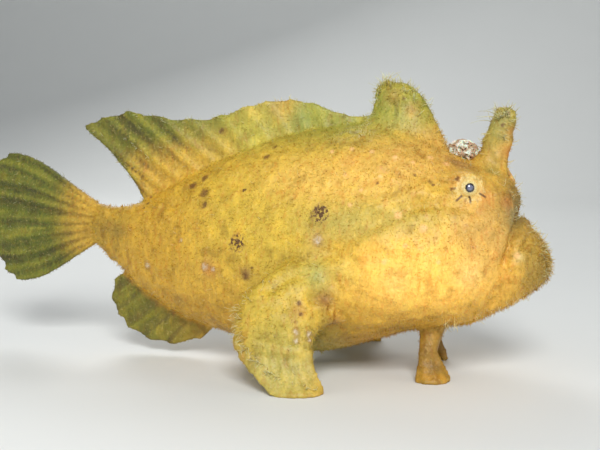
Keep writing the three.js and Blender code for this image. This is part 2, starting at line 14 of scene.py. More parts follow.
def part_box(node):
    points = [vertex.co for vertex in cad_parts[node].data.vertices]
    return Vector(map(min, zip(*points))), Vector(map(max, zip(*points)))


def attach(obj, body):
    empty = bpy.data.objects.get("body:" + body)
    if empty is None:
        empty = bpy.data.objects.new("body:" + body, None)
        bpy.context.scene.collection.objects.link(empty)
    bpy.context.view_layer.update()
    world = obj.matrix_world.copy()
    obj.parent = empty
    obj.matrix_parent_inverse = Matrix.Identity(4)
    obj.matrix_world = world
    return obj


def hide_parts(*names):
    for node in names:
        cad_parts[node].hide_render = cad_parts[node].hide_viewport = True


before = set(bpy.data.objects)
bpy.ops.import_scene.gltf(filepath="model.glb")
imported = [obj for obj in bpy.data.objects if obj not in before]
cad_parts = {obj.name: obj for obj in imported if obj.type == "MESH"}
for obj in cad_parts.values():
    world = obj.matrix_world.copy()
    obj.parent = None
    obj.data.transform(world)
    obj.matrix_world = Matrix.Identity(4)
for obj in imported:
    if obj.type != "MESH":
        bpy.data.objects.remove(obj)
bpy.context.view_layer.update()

# Places are in millimetres, laid out as the fish is: x = 0 near mid-body, +X to the head, z = 0 the ground.
MM = 0.001
CHIN_X = 70.6  # the chin's tip in that layout
SHIFT = np.array(
    [
        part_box("lower_jaw")[1].x / MM - CHIN_X,
        (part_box("pectoral_fin_right")[0].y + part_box("pectoral_fin_left")[1].y) / 2 / MM,
        0.0,
    ]
)
SIDES = {"right": -1, "left": 1}

# The photograph's view
VIEW_AZIMUTH = 15
VIEW_ELEVATION = 5
LENS = 60
SENSOR = 36
VIEW_DISTANCE = 290
VIEW_TARGET = (0, 0, 40.2)
PHOTO_WIDTH = 600
PHOTO_MIDDLE = (300, 225)

# The skin
BODY_NODES = ["head", "lower_jaw", "torso", "tail", "eye_right", "eye_left"]
BODY_NODES += ["pectoral_arm_right", "pectoral_arm_left", "second_dorsal_spine", "third_dorsal_spine"]
MEDIAN_FIN_NODES = ["dorsal_fin", "caudal_fin", "anal_fin"]
PAIRED_FIN_NODES = [f"{fin}_fin_{side}" for fin in ("pectoral", "pelvic") for side in SIDES]
COARSE_VOXEL = 1.1
FINE_VOXEL = 0.66
BODY_PLUMP = 0.3  # how far copies of the solids grow, to close the gaps between them
FIN_PLUMP = 0.3

# Median fins ray by ray: root x, root z, tip x, tip z
DORSAL_RAYS = [
    (20, 64.5, 20.6, 71.6), (15, 64, 13, 72.2), (10, 63.5, 4, 75.4), (5, 62.5, -3, 76.5),
    (0, 61.5, -10, 76), (-5, 60, -17, 74.4), (-10, 58, -25, 71.8), (-15, 56, -34, 70.9),
    (-20.5, 54, -44, 71.8), (-26, 51.5, -54, 73.4), (-31.5, 49, -63.5, 71.6), (-37, 46.5, -69.6, 68.8),
    (-42.5, 44, -60.6, 61.4), (-47.5, 42.5, -50.4, 49.8),
]
CAUDAL_RAYS = [
    (-62, 43.5, -100, 60.6), (-62, 42.7, -104.6, 57.8), (-62, 41.8, -107.4, 52.8),
    (-62, 40.8, -109, 46.8), (-62, 39.5, -109.6, 40), (-62, 38.2, -108.8, 33.2),
    (-62, 37.1, -106.6, 27), (-62, 36.1, -103, 22), (-62, 35.2, -97.6, 19.4),
]
ANAL_RAYS = [
    (-22, 14, -31, 5.2), (-27, 15.5, -39.5, 3.2), (-32, 17.5, -48, 4), (-37, 19.5, -55.5, 7.2),
    (-42, 22, -58.6, 11), (-46.5, 25, -60.8, 16), (-50, 28, -60.2, 21.6),
]
# A fin's rays, then its sizes in mm: how far its outer rays bow, its waves to the sides,
# and half its thickness at root and edge
MEDIAN_FINS = {
    "dorsal": (DORSAL_RAYS, 0, 0.5, 1.4, 0.5),
    "caudal": (CAUDAL_RAYS, 2.6, 0.7, 1.5, 0.5),
    "anal": (ANAL_RAYS, 0, 0.4, 1.4, 0.5),
}
BOW_LATE = 1.7
SCALLOP = 0.02  # how far the skin between two rays stops short of their tips
RAGGED = 0.008
STEPS_PER_RAY = 8
STEPS_DOWN = 26
TAIL_BEND = 0.0017  # the tail swings to the left by this times the square of the way past BEND_FROM
BEND_FROM = -22

# Eyes
EYE_RADIUS = 3.7
GAZE = (0.28, 0.95, 0.12)
OPENING = 2.9  # radius of the round opening between the lids
LID = 0.45  # how far the lids stand out over the eyeball
LID_REACH = 5.2  # how far from the eye's axis they run out into the skin
LID_TOP = 0.6  # how far from the opening's edge they stand at their full height
LID_EDGE = 0.33  # points of the skin this near the opening's edge are moved onto it
UNDER_EYE = 0.9  # how far the skin inside the opening sinks below the eyeball
CORNEA = (0.4, 1.7)  # how far the cornea stands out, and its width

# The mouth, on a slanting plane from the notch over the lower lip to the throat, as x and z. Its groove,
# upper lip and lower lip: how high each stands, how far ahead of that plane it lies, and its width, in mm
MOUTH_NOTCH = (61.6, 42)
MOUTH_THROAT = (55.5, 17.6)
MOUTH_CORNER_Z = 31.3
MOUTH_FORM = [(-1.5, 0.0, 0.75), (0.75, -2.0, 1.1), (0.85, 2.1, 1.2)]

# Small forms: rims beside folds, as shares of a fold's depth and width, warts as shares of their radius,
# and the rims of pits and the ridges of fin rays in mm
FOLD_RIM = 0.45
FOLD_RIM_AT = 2.2
PALE_WART_HEIGHT = 0.4
SCATTERED_WART_HEIGHT = 0.42
PIT_RIM = 0.55
PIT_RIM_WIDTH = 0.45
RAY_HEIGHT = 0.25

# Folds of skin on the side, as pixels of the photograph: points, width in mm, depth in mm
FOLDS = [
    ([(270, 290), (300, 272), (340, 245), (378, 222), (420, 205)], 1.8, 0.9),
    ([(420, 205), (450, 206), (480, 212), (503, 204)], 1.4, 0.45),
    ([(507, 262), (505, 282), (494, 300)], 1.6, 0.8),
    ([(312, 300), (322, 296), (334, 303), (338, 316)], 1.2, 0.8),
    ([(300, 262), (322, 250), (350, 262)], 1.6, 0.5),
    ([(452, 158), (470, 162), (487, 170)], 1.3, 0.35),
    ([(527, 243), (520, 250), (514, 258)], 0.9, 0.6),
]
# Nostrils and gill opening on each side: place as x and z, radius and depth in mm
PITS = [((56.2, 50.4), 0.85, 0.8), ((59, 49), 0.8, 0.8), ((15.6, 20.8), 1.5, 1.6)]
# Marks on the side: pixel of the photograph across and down, and radius in mm
STARBURSTS = [(320, 214, 2.4), (237, 243, 2.4), (244, 190, 0.7)]
SPOTS = [
    (205, 178, 1.3), (193, 185, 1.5), (205, 193, 1.9), (205, 205, 1.2), (267, 157, 1.2),
    (222, 131, 1.1), (275, 147, 0.9), (245, 276, 1.3), (415, 175, 0.6), (430, 182, 0.8),
    (433, 185, 0.6), (457, 178, 0.8), (404, 99, 0.6), (151, 197, 0.7), (148, 203, 0.7), (144, 208, 0.6),
    (503, 125, 0.7), (508, 113, 0.8), (247, 278, 0.8), (252, 268, 0.6), (299, 303, 0.8),
    (301, 314, 0.7), (296, 322, 0.6), (262, 297, 0.5), (377, 183, 0.5), (452, 190, 0.6),
]
SCATTERED_WARTS = 650
PALE_WARTS = [
    (332, 152, 0.9), (352, 149, 0.8), (372, 152, 0.9), (395, 158, 0.9), (413, 163, 0.8),
    (430, 158, 1.1), (446, 165, 1.1), (398, 215, 1.3), (423, 229, 1.4), (345, 175, 0.8),
    (516, 256, 1.0), (361, 190, 0.7), (380, 176, 0.7), (350, 205, 0.8), (405, 246, 0.9),
    (438, 262, 0.8), (384, 262, 0.9),
]
PALE_PATCHES = [
    (309, 334, 1.0), (309, 340, 0.8), (296, 332, 1.1), (296, 341, 0.9), (148, 265, 1.4),
    (205, 267, 1.4), (213, 269, 0.9), (318, 240, 1.7), (181, 240, 0.8),
]


def scene_point(place):
    """A layout point, in mm, as a point of the scene."""
    return Vector((np.array(place, float) + SHIFT) * MM)


def aim(azimuth, elevation):
    """The direction from the fish to a camera at that angle."""
    a = math.radians(azimuth)
    e = math.radians(elevation)
    return Vector((math.sin(a) * math.cos(e), -math.cos(a) * math.cos(e), math.sin(e)))


def make_camera():
    data = bpy.data.cameras.new("camera")
    data.lens = LENS
    data.sensor_width = SENSOR
    data.clip_start = 0.01
    camera = bpy.data.objects.new("camera", data)
    back = aim(VIEW_AZIMUTH, VIEW_ELEVATION)
    camera.location = scene_point(VIEW_TARGET) + back * VIEW_DISTANCE * MM
    camera.rotation_mode = "QUATERNION"
    camera.rotation_quaternion = (-back).to_track_quat("-Z", "Y")
    bpy.context.scene.collection.objects.link(camera)
    bpy.context.scene.camera = camera
    return camera


def photo_ray(camera, pixel):
    """The line of sight through a pixel of the photograph, as its start and direction."""
    reach = PHOTO_WIDTH * LENS / SENSOR
    across = (pixel[0] - PHOTO_MIDDLE[0]) / reach
    up = (PHOTO_MIDDLE[1] - pixel[1]) / reach
    direction = camera.rotation_quaternion @ Vector((across, up, -1))
    return camera.location.copy(), direction.normalized()


def add_object(name, mesh):
    made = bpy.data.objects.new(name, mesh)
    bpy.context.scene.collection.objects.link(made)
    return made


def mesh_from(name, points, faces):
    """A mesh from layout points in mm."""
    mesh = bpy.data.meshes.new(name)
    mesh.from_pydata([tuple((np.array(p) + SHIFT) * MM) for p in points], [], faces)
    mesh.update()
    return mesh


def finished(made):
    """Replaces an object's mesh by the mesh that its modifiers make."""
    depsgraph = bpy.context.evaluated_depsgraph_get()
    mesh = bpy.data.meshes.new_from_object(made.evaluated_get(depsgraph))
    made.modifiers.clear()
    made.data = mesh
    return made


def copy_of(name, nodes, plump):
    """One object from copies of CAD nodes, each grown outwards by plump millimetres."""
    joined = bmesh.new()
    for node in nodes:
        joined.from_mesh(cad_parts[node].data)
    bmesh.ops.remove_doubles(joined, verts=joined.verts, dist=0.002 * MM)
    joined.normal_update()
    for vertex in joined.verts:
        vertex.co += vertex.normal * plump * MM
    mesh = bpy.data.meshes.new(name)
    joined.to_mesh(mesh)
    joined.free()
    return add_object(name, mesh)


def remeshed(made, voxel, smoothing, subdivisions=0):
    remesh = made.modifiers.new("remesh", "REMESH")
    remesh.mode = "VOXEL"
    remesh.voxel_size = voxel * MM
    smooth = made.modifiers.new("smooth", "SMOOTH")
    smooth.factor = 0.5
    smooth.iterations = smoothing
    if subdivisions:
        finer = made.modifiers.new("finer", "SUBSURF")
        finer.levels = subdivisions
        finer.render_levels = subdivisions
    return finished(made)


def surface_of(made):
    """The object's faces, as a tree to cast rays at."""
    return BVHTree.FromObject(made, bpy.context.evaluated_depsgraph_get())


def tree_of(places):
    """Points as a tree that finds the nearest ones."""
    tree = KDTree(len(places))
    for index, place in enumerate(places.tolist()):
        tree.insert(place, index)
    tree.balance()
    return tree


def smooth(mesh):
    mesh.polygons.foreach_set("use_smooth", [True] * len(mesh.polygons))


def round_piece(name, material, ball, move):
    """A round piece, with every point of a ball at the origin moved to its place."""
    for vertex in ball.verts:
        vertex.co = move(vertex.co)
    mesh = bpy.data.meshes.new(name)
    ball.to_mesh(mesh)
    ball.free()
    smooth(mesh)
    mesh.materials.append(material)
    return add_object(name, mesh)


def points_of(mesh):
    """A mesh's vertices in layout millimetres, and their normals."""
    count = len(mesh.vertices)
    places = np.empty(count * 3)
    mesh.vertices.foreach_get("co", places)
    normals = np.empty(count * 3)
    mesh.vertices.foreach_get("normal", normals)
    return places.reshape(-1, 3) / MM - SHIFT, normals.reshape(-1, 3)


def set_points(mesh, places):
    mesh.vertices.foreach_set("co", ((places + SHIFT) * MM).ravel())
    mesh.update()


def fade(value, full, none):
    """1 where value is at full or beyond, 0 where it is at none or beyond, and smooth between."""
    share = np.clip((value - none) / (full - none), 0, 1)
    return share * share * (3 - 2 * share)


def bell(value, width):
    """1 where value is 0, falling smoothly to nearly 0 at twice the width."""
    return np.exp(-((value / width) ** 2))


def distance(places, place):
    """How far each point is from one place."""
    return np.linalg.norm(places - place, axis=1)


def rough(places, size, octaves=2, seed=0.0):
    """Smooth noise from -1 to 1 at layout points, with lumps of that size in mm."""
    offset = Vector((seed, seed * 1.7, -seed))
    return np.array(
        [noise.fractal(Vector(p) / size + offset, 1.0, 2.0, octaves) for p in places.tolist()]
    )


def on_skin(tree, camera, pixel, side=-1):
    """Where a pixel's line of sight meets the skin, or its mirror image on the left side."""
    hit = tree.ray_cast(*photo_ray(camera, pixel))[0]
    place = np.array(hit) / MM - SHIFT
    if side > 0:
        lateral = scene_point((place[0], 90, place[2]))
        hit = tree.ray_cast(lateral, Vector((0, -1, 0)))[0]
        place = np.array(hit) / MM - SHIFT if hit else place * [1, -1, 1]
    return place


def distance_to_path(places, path):
    """How far each point is from a line through the path's points."""
    nearest = np.full(len(places), 1e9)
    for start, end in zip(path[:-1], path[1:]):
        along = end - start
        share = np.clip((places - start) @ along / (along @ along), 0, 1)
        foot = start + share[:, None] * along
        nearest = np.minimum(nearest, np.linalg.norm(places - foot, axis=1))
    return nearest


def gaze(side):
    axis = np.array([GAZE[0], GAZE[1] * side, GAZE[2]])
    return axis / np.linalg.norm(axis)


def eye_centre(name):
    low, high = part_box(f"eye_{name}")
    return np.array((low + high) / 2) / MM - SHIFT


def open_lids(places, normals):
    """Moves the skin round each eye: under the eyeball inside the opening, and into a lid around it."""
    moved = places.copy()
    for name, side in SIDES.items():
        centre = eye_centre(name)
        axis = gaze(side)
        away = places - centre
        height = away @ axis
        flat = away - height[:, None] * axis
        reach = np.linalg.norm(flat, axis=1)
        near = (np.linalg.norm(away, axis=1) < LID_REACH + 2) & (height > -1.5)
        ball = np.sqrt(np.clip(EYE_RADIUS**2 - reach**2, 0, None))
        edge = np.abs(reach - OPENING) < LID_EDGE
        reach_new = np.where(edge, OPENING, reach)
        spread = flat / np.maximum(reach, 1e-6)[:, None]
        lid = np.sqrt(np.clip((EYE_RADIUS + LID) ** 2 - reach_new**2, 0, None))
        inside = reach_new < OPENING
        wanted = np.where(inside, ball - UNDER_EYE, lid)
        hold = np.where(inside, 1.0, fade(reach_new, OPENING + LID_TOP, LID_REACH))
        lifted = np.where(inside, wanted, np.maximum(height, wanted * hold + height * (1 - hold)))
        target = centre + spread * reach_new[:, None] + lifted[:, None] * axis
        moved[near] = target[near]
    return moved


def mouth_heights(places):
    """A groove along the mouth with a lip on each side of it, running out at the corners."""
    notch = np.array([MOUTH_NOTCH[0], 0, MOUTH_NOTCH[1]])
    throat = np.array([MOUTH_THROAT[0], 0, MOUTH_THROAT[1]])
    down = (throat - notch) / np.linalg.norm(throat - notch)
    ahead = np.array([-down[2], 0, down[0]])
    off = (places - notch) @ ahead
    open_share = fade(places[:, 2], MOUTH_CORNER_Z + 4, MOUTH_CORNER_Z - 1)
    front = fade(places[:, 0], 50, 46)
    form = sum(height * bell(off - middle, width) for height, middle, width in MOUTH_FORM)
    return form * open_share * front


def spline(points, share):
    """A smooth curve through points, at shares from 0 to 1 of the way along it."""
    points = np.array(points, float)
    padded = np.vstack([2 * points[0] - points[1], points, 2 * points[-1] - points[-2]])
    part = np.clip(share, 0, 1) * (len(points) - 1)
    first = np.minimum(part.astype(int), len(points) - 2)
    t = (part - first)[:, None]
    a, b, c, d = (padded[first + step] for step in range(4))
    return b + 0.5 * t * (c - a + t * (2 * a - 5 * b + 4 * c - d + t * (3 * b - a - 3 * c + d)))


def ray_ridge(across):
    """1 on a fin's rays, where across is a whole number, falling to 0 between them."""
    return (0.5 + 0.5 * np.cos(2 * np.pi * across)) ** 3


def fin_surface(name, across, down):
    """Points of a median fin's middle surface, by places across it in rays and down it from the root."""
    rays, spread, wave, _, _ = MEDIAN_FINS[name]
    u, v = (grid.ravel() for grid in np.meshgrid(across, down, indexing="ij"))
    share = u / (len(rays) - 1)
    roots = spline([ray[:2] for ray in rays], share)
    tips = spline([ray[2:] for ray in rays], share)
    ragged = 1 + RAGGED * np.sin(9 * u) * np.sin(4.3 * u + 1)
    reach = v * (ragged - SCALLOP * np.sin(np.pi * u) ** 2 * v)
    x, z = (roots + (tips - roots) * reach[:, None]).T
    z = z + spread * (1 - 2 * share) * np.sin(np.pi * np.clip(reach, 0, 1) ** BOW_LATE)
    y = wave * reach * np.sin(1.9 * u + 2 * reach)
    y += TAIL_BEND * np.maximum(0, BEND_FROM - x) ** 2
    return np.column_stack([x, y, z]), u, v


def fin_grid(name):
    rays = MEDIAN_FINS[name][0]
    return np.linspace(0, len(rays) - 1, (len(rays) - 1) * STEPS_PER_RAY + 1), np.linspace(0, 1, STEPS_DOWN)


def fin_sheet(name):
    """A closed sheet with raised rays and a scalloped edge."""
    _, _, _, root_half, edge_half = MEDIAN_FINS[name]
    across, down = fin_grid(name)
    middle, u, v = fin_surface(name, across, down)
    half = (root_half + (edge_half - root_half) * v) * (0.72 + 0.5 * ray_ridge(u))
    offset = half[:, None] * [0, 1, 0]
    rows = len(down)
    count = len(middle)
    faces = []
    for column in range(len(across) - 1):
        for row in range(rows - 1):
            first = column * rows + row
            corners = [first, first + rows, first + rows + 1, first + 1]
            faces.append(corners)
            faces.append([corner + count for corner in reversed(corners)])
    roots = [column * rows for column in range(len(across))]
    rim = roots + [roots[-1] + row for row in range(1, rows)]
    rim += [root + rows - 1 for root in reversed(roots[:-1])] + list(range(rows - 2, 0, -1))
    for start, end in zip(rim, rim[1:] + rim[:1]):
        faces.append([end, start, start + count, end + count])
    return add_object(name, mesh_from(name, np.vstack([middle + offset, middle - offset]), faces))


def along_fin(name, places):
    """Where points of the skin lie on a median fin in the side view: across, down, and how far off it."""
    middle, u, v = fin_surface(name, *fin_grid(name))
    tree = tree_of(middle * [1, 0, 1])
    near = [tree.find((x, 0, z)) for x, _, z in places.tolist()]
    index = np.array([found[1] for found in near])
    return u[index], v[index], np.array([found[2] for found in near])


def make_skin(camera):
    body = remeshed(copy_of("body", BODY_NODES, BODY_PLUMP), COARSE_VOXEL, 7, 1)
    body_tree = surface_of(body)
    parts = [body, copy_of("paired_fins", PAIRED_FIN_NODES, FIN_PLUMP)]
    parts += [fin_sheet(name) for name in MEDIAN_FINS]
    whole = bmesh.new()
    for part in parts:
        whole.from_mesh(part.data)
        bpy.data.objects.remove(part)
    mesh = bpy.data.meshes.new("skin")
    whole.to_mesh(mesh)
    whole.free()
    skin = add_object("skin", mesh)
    remeshed(skin, FINE_VOXEL, 2)
    places, normals = points_of(skin.data)
    off_body = np.array(
        [body_tree.find_nearest(Vector((p + SHIFT) * MM))[3] / MM for p in places]
    )
    fin = fade(off_body, 2.2, 0.5)
    tree = surface_of(skin)
    features = find_features(tree, camera)
    on_fins = {name: along_fin(name, places) for name in MEDIAN_FINS}
    heights = skin_heights(places, fin, features, on_fins)
    painted_at = places
    places = places + normals * heights[:, None]
    places = open_lids(places, normals)
    places[:, 2] = np.maximum(places[:, 2], 0.02)
    set_points(skin.data, places)
    paint(skin.data, painted_at, fin, features, on_fins)
    smooth(skin.data)
    return skin


def find_features(tree, camera):
    """The places on the skin of every mark, wart and fold, on both sides of the fish."""
    marks_of = {
        "starbursts": STARBURSTS,
        "spots": SPOTS,
        "warts": PALE_WARTS,
        "patches": PALE_PATCHES,
        "tints": [(*tint[:2], tint) for tint in TINTS],
    }
    found = {key: [] for key in (*marks_of, "folds", "pits")}
    shuffle = random.Random(4)
    for side in SIDES.values():
        for key, marks in marks_of.items():
            for *pixel, radius in marks:
                moved = pixel
                if side > 0 and key != "tints":
                    moved = [pixel[0] + shuffle.uniform(-14, 14), pixel[1] + shuffle.uniform(-9, 9)]
                if tree.ray_cast(*photo_ray(camera, moved))[0] is None:
                    moved = pixel
                found[key].append((on_skin(tree, camera, moved, side), radius))
        for pixels, width, depth in FOLDS:
            path = [on_skin(tree, camera, pixel, side) for pixel in pixels]
            found["folds"].append((path, width, depth))
        for (x, z), radius, depth in PITS:
            lateral = scene_point((x, 90 * side, z))
            hit = tree.ray_cast(lateral, Vector((0, -side, 0)))[0]
            found["pits"].append((np.array(hit) / MM - SHIFT, radius, depth))
    return found


def skin_heights(places, fin, features, on_fins):
    """How far the skin stands out from the plain form at each point, in mm."""
    flesh = 1 - fin
    heights = mouth_heights(places)
    for path, width, depth in features["folds"]:
        away = distance_to_path(places, path)
        heights -= depth * bell(away, width)
        heights += FOLD_RIM * depth * bell(away - FOLD_RIM_AT * width, width)
    for place, radius in features["warts"]:
        heights += PALE_WART_HEIGHT * radius * bell(distance(places, place), radius)
    for place, radius, depth in features["pits"]:
        away = distance(places, place)
        heights += PIT_RIM * bell(away - radius, PIT_RIM_WIDTH)
        heights -= depth * bell(away, 0.7 * radius)
    rear = fade(places[:, 0], -28, -8)
    for across, _, away in on_fins.values():
        heights += RAY_HEIGHT * ray_ridge(across) * fade(away, 0.4, 1.2) * fin * rear
    heights += 0.35 * rough(places, 7.0, 2, 3.0) * flesh
    heights += (0.1 * flesh + 0.06) * rough(places, 2.2, 3, 9.0)
    heights += scattered_warts(places) * flesh
    return heights


def scattered_warts(places):
    """Small round warts all over the body."""
    draw = random.Random(11)
    tree = tree_of(places)
    heights = np.zeros(len(places))
    for _ in range(SCATTERED_WARTS):
        index = draw.randrange(len(places))
        radius = draw.uniform(0.6, 1.25)
        for place, near, away in tree.find_range(places[index].tolist(), radius * 2.2):
            bump = SCATTERED_WART_HEIGHT * radius * math.exp(-((away / radius) ** 2))
            heights[near] = max(heights[near], bump)
    return heights


def linear(red, green, blue):
    """A colour given as screen values from 0 to 255, as linear values."""
    return np.array([((v / 255 + 0.055) / 1.055) ** 2.4 for v in (red, green, blue)])


# Colours of the skin, as screen values
GOLD = (198, 155, 50)
BACK = (142, 146, 54)
THROAT = (255, 200, 88)
FLANK = (196, 168, 50)
REAR = (190, 148, 36)
# FIN_OLIVE is the fins' own olive, made darker partly as painted shade for the tail fin
FIN_OLIVE = (78, 92, 12)
FIN_DARK = (54, 44, 8)
FIN_GLEAM = (158, 152, 44)
ARM = (184, 160, 50)
SNOUT = (130, 108, 48)
JAW = (154, 126, 46)
PINKISH = (240, 188, 124)
BROWN = (74, 38, 12)
RUST = (180, 112, 40)
UMBER = (122, 80, 56)
BELLY = (190, 140, 56)
PALE_GREY = (206, 190, 166)
CREAM = (226, 206, 136)

# Regions of colour: middle (x, z) on the side, reach along and up in mm, colour, strength
REGIONS = [
    ((0, 44), (45, 20), FLANK, 0.8),
    ((0, 74), (70, 11), BACK, 0.95),
    ((-42, 40), (18, 15), REAR, 0.85),
    ((16, 54), (24, 7), (222, 178, 82), 0.7),
    ((36, 62), (15, 8), (206, 160, 74), 0.7),
    ((30, 74), (9, 9), BACK, 0.5),
    ((57, 68), (6, 10), (142, 138, 66), 0.8),
    ((26, 43), (20, 5), (176, 160, 74), 0.85),
    ((40, 29), (22, 12), THROAT, 1.0),
    ((54, 42), (8, 12), (198, 154, 78), 0.7),
    ((62, 47), (4.5, 8), SNOUT, 0.9),
    ((68, 32), (5.5, 9), JAW, 0.9),
    ((2, 20), (13, 15), ARM, 0.85),
    ((24, 7), (24, 5), BELLY, 0.85),
    ((5, 6), (13, 11), (168, 160, 76), 0.85),
    ((41, 6), (8, 9), (140, 106, 26), 0.95),
    ((-60, 38), (9, 9), (158, 128, 32), 0.8),
]
# Soft patches of colour, one of them a painted shadow: pixel of the photograph across and down, radius in
# mm, colour and strength
TINTS = [
    (507, 203, 2.2, RUST, 0.7), (510, 216, 2.6, (150, 140, 92), 0.7), (463, 165, 3.6, UMBER, 0.5),
    (452, 160, 2.4, UMBER, 0.4), (412, 110, 2.0, RUST, 0.45), (394, 97, 2.4, (190, 150, 60), 0.5),
    (507, 152, 2.6, RUST, 0.55), (511, 132, 1.9, RUST, 0.5), (325, 300, 2.6, UMBER, 0.8),
    # The first patch on the next line, at (334, 322), is painted shadow in umber, between the arm and the
    # belly
    (334, 322, 2.6, UMBER, 0.6), (299, 310, 2.2, (158, 104, 44), 0.5), (246, 273, 1.8, UMBER, 0.6),
    (209, 269, 2.6, (176, 110, 60), 0.6), (118, 233, 2.4, (116, 96, 40), 0.5),
    (492, 171, 2.6, (128, 128, 70), 0.5), (457, 180, 2.0, (196, 116, 44), 0.45),
    (484, 196, 2.2, (214, 132, 54), 0.45), (317, 240, 3.0, (176, 150, 96), 0.5),
    (518, 257, 1.2, CREAM, 0.7), (300, 118, 3.5, (140, 156, 78), 0.5),
    (282, 106, 5.0, (182, 150, 62), 0.6), (250, 112, 4.0, (176, 156, 60), 0.6),
    (252, 138, 5.5, (184, 174, 68), 0.7), (222, 150, 5.0, (184, 156, 50), 0.5),
    (345, 118, 4.0, (158, 158, 70), 0.5), (345, 270, 3.5, (206, 188, 84), 0.4),
    (315, 275, 4.2, (150, 160, 88), 0.7), (470, 275, 4.0, (255, 212, 130), 0.5),
    (395, 285, 3.5, (255, 214, 120), 0.5), (350, 160, 3.0, (214, 150, 70), 0.4),
]
# How each median fin darkens: how far out the olive is full, how far out the streaks are full,
# and how much of each there is
FIN_SHADES = [
    ("dorsal", 0.7, 0.5, 0.9, 0.75),
    # caudal: the olive is partly the tail fin's own colour and partly painted shade, so it starts nearer the
    # root and covers more of the fin
    ("caudal", 0.5, 0.35, 0.98, 0.6),
    ("anal", 0.5, 0.6, 0.85, 0.5),
]
# Streaks along the fins: how many for each ray, shift, sharpness, colour and share
FIN_LINES = [
    (1, 0.35, 4, FIN_DARK, 1.0),
    (2.3, 0.1, 3, FIN_DARK, 0.6),
    (1, -0.15, 5, FIN_GLEAM, 0.6),
    (3.1, 0.6, 4, FIN_GLEAM, 0.3),
]


def region_colour(places, fin, features, on_fins):
    colour = np.tile(linear(*GOLD), (len(places), 1))

    def blend(share, tint):
        colour[:] = colour * (1 - share[:, None]) + linear(*tint) * share[:, None]

    for (x, z), (along, up), tint, strength in REGIONS:
        away = ((places[:, 0] - x) / along) ** 2 + ((places[:, 2] - z) / up) ** 2
        blend(strength * np.exp(-(away**1.5)), tint)
    for place, (_, _, radius, tint, strength) in features["tints"]:
        blend(strength * bell(distance(places, place), radius), tint)
    for name, olive_from, dark_from, most, streaks in FIN_SHADES:
        across, down, off = on_fins[name]
        near = fade(off, 0.8, 3.5) * (fin if name == "anal" else 1)
        ahead = fade(places[:, 0], -48, -14)
        blend(near * ahead * fade(down, olive_from, olive_from - 0.35) * most, FIN_OLIVE)
        on_fin = np.column_stack([across * 4, down * 3, across * 0])
        streaky = 0.5 + 0.5 * rough(on_fin, 1.7, 2, 5.0)
        swerve = 0.3 * rough(on_fin * [0.5, 1, 1], 1.4, 2, 8.0)
        banded = near * ahead * fade(down, dark_from, dark_from - 0.4) * streaks
        for lines, shift, sharp, tint, share in FIN_LINES:
            line = (0.5 + 0.5 * np.cos(2 * np.pi * (lines * across + swerve - shift))) ** sharp
            shown = streaky if tint is FIN_DARK else 1 - streaky
            blend(banded * line * share * np.clip(1.7 * shown, 0, 1), tint)
    return colour


def mark_strength(places, marks, spread):
    """1 at the middle of each mark, falling to 0 at spread times its radius."""
    strength = np.zeros(len(places))
    for place, radius in marks:
        strength = np.maximum(strength, 1 - distance(places, place) / (radius * spread))
    return np.clip(strength, 0, 1)


def coat_length(places, fin):
    """How long the fuzz grows at each point, as a share of its full length."""
    x, _, z = places.T
    share = 1 - 0.35 * fin
    share *= 1 - 0.4 * fade(x, 56, 46) * fade(z, 40, 34)
    share *= 1 - 0.45 * fade(z, 6, 14)
    for name in SIDES:
        share *= 1 - 0.6 * fade(distance(places, eye_centre(name)), 5, 9)
    chin = np.exp(-(((x - 70) / 3) ** 2 + ((z - 31) / 8) ** 2))
    spine_tips = fade(z, 78, 70) * fade(x, 16, 12)
    return share + 0.45 * chin + 0.45 * spine_tips


def coat_cover(places):
    """1 where fuzz grows: not on the eyes or under the feet."""
    cover = fade(places[:, 2], 1.4, 1.1)
    for name, side in SIDES.items():
        away = places - eye_centre(name)
        height = away @ gaze(side)
        reach = np.linalg.norm(away - height[:, None] * gaze(side), axis=1)
        cover *= 1 - fade(reach, OPENING + 0.3, OPENING + 0.9) * (height > 0)
    return cover


def paint(mesh, places, fin, features, on_fins):
    """Stores the skin's regions, marks and coat as attributes that materials and coat read."""
    colour = region_colour(places, fin, features, on_fins)
    tone = mesh.color_attributes.new("tone", "FLOAT_COLOR", "POINT")
    tone.data.foreach_set("color", np.column_stack([colour, np.ones(len(colour))]).ravel())
    fields = {
        "starburst": mark_strength(places, features["starbursts"], 1.5),
        "spot": mark_strength(places, features["spots"], 1.5),
        "wart": mark_strength(places, features["warts"], 1.6),
        "patch": mark_strength(places, features["patches"], 1.5),
        "hair": coat_length(places, fin),
        "cover": coat_cover(points_of(mesh)[0]),
    }
    for name, values in fields.items():
        layer = mesh.attributes.new(name, "FLOAT", "POINT")
        layer.data.foreach_set("value", values)


class Tree:
    """Short calls for building a tree of nodes."""

    def add(self, kind, inputs, **settings):
        """A node of that kind, with its settings, and values or links for its inputs."""
        node = self.tree.nodes.new(kind)
        for name, value in settings.items():
            setattr(node, name, value)
        for name, value in inputs.items():
            self.put(value, node.inputs[name])
        return node

    def put(self, value, socket):
        if isinstance(value, bpy.types.NodeSocket):
            self.tree.links.new(value, socket)
        else:
            socket.default_value = value


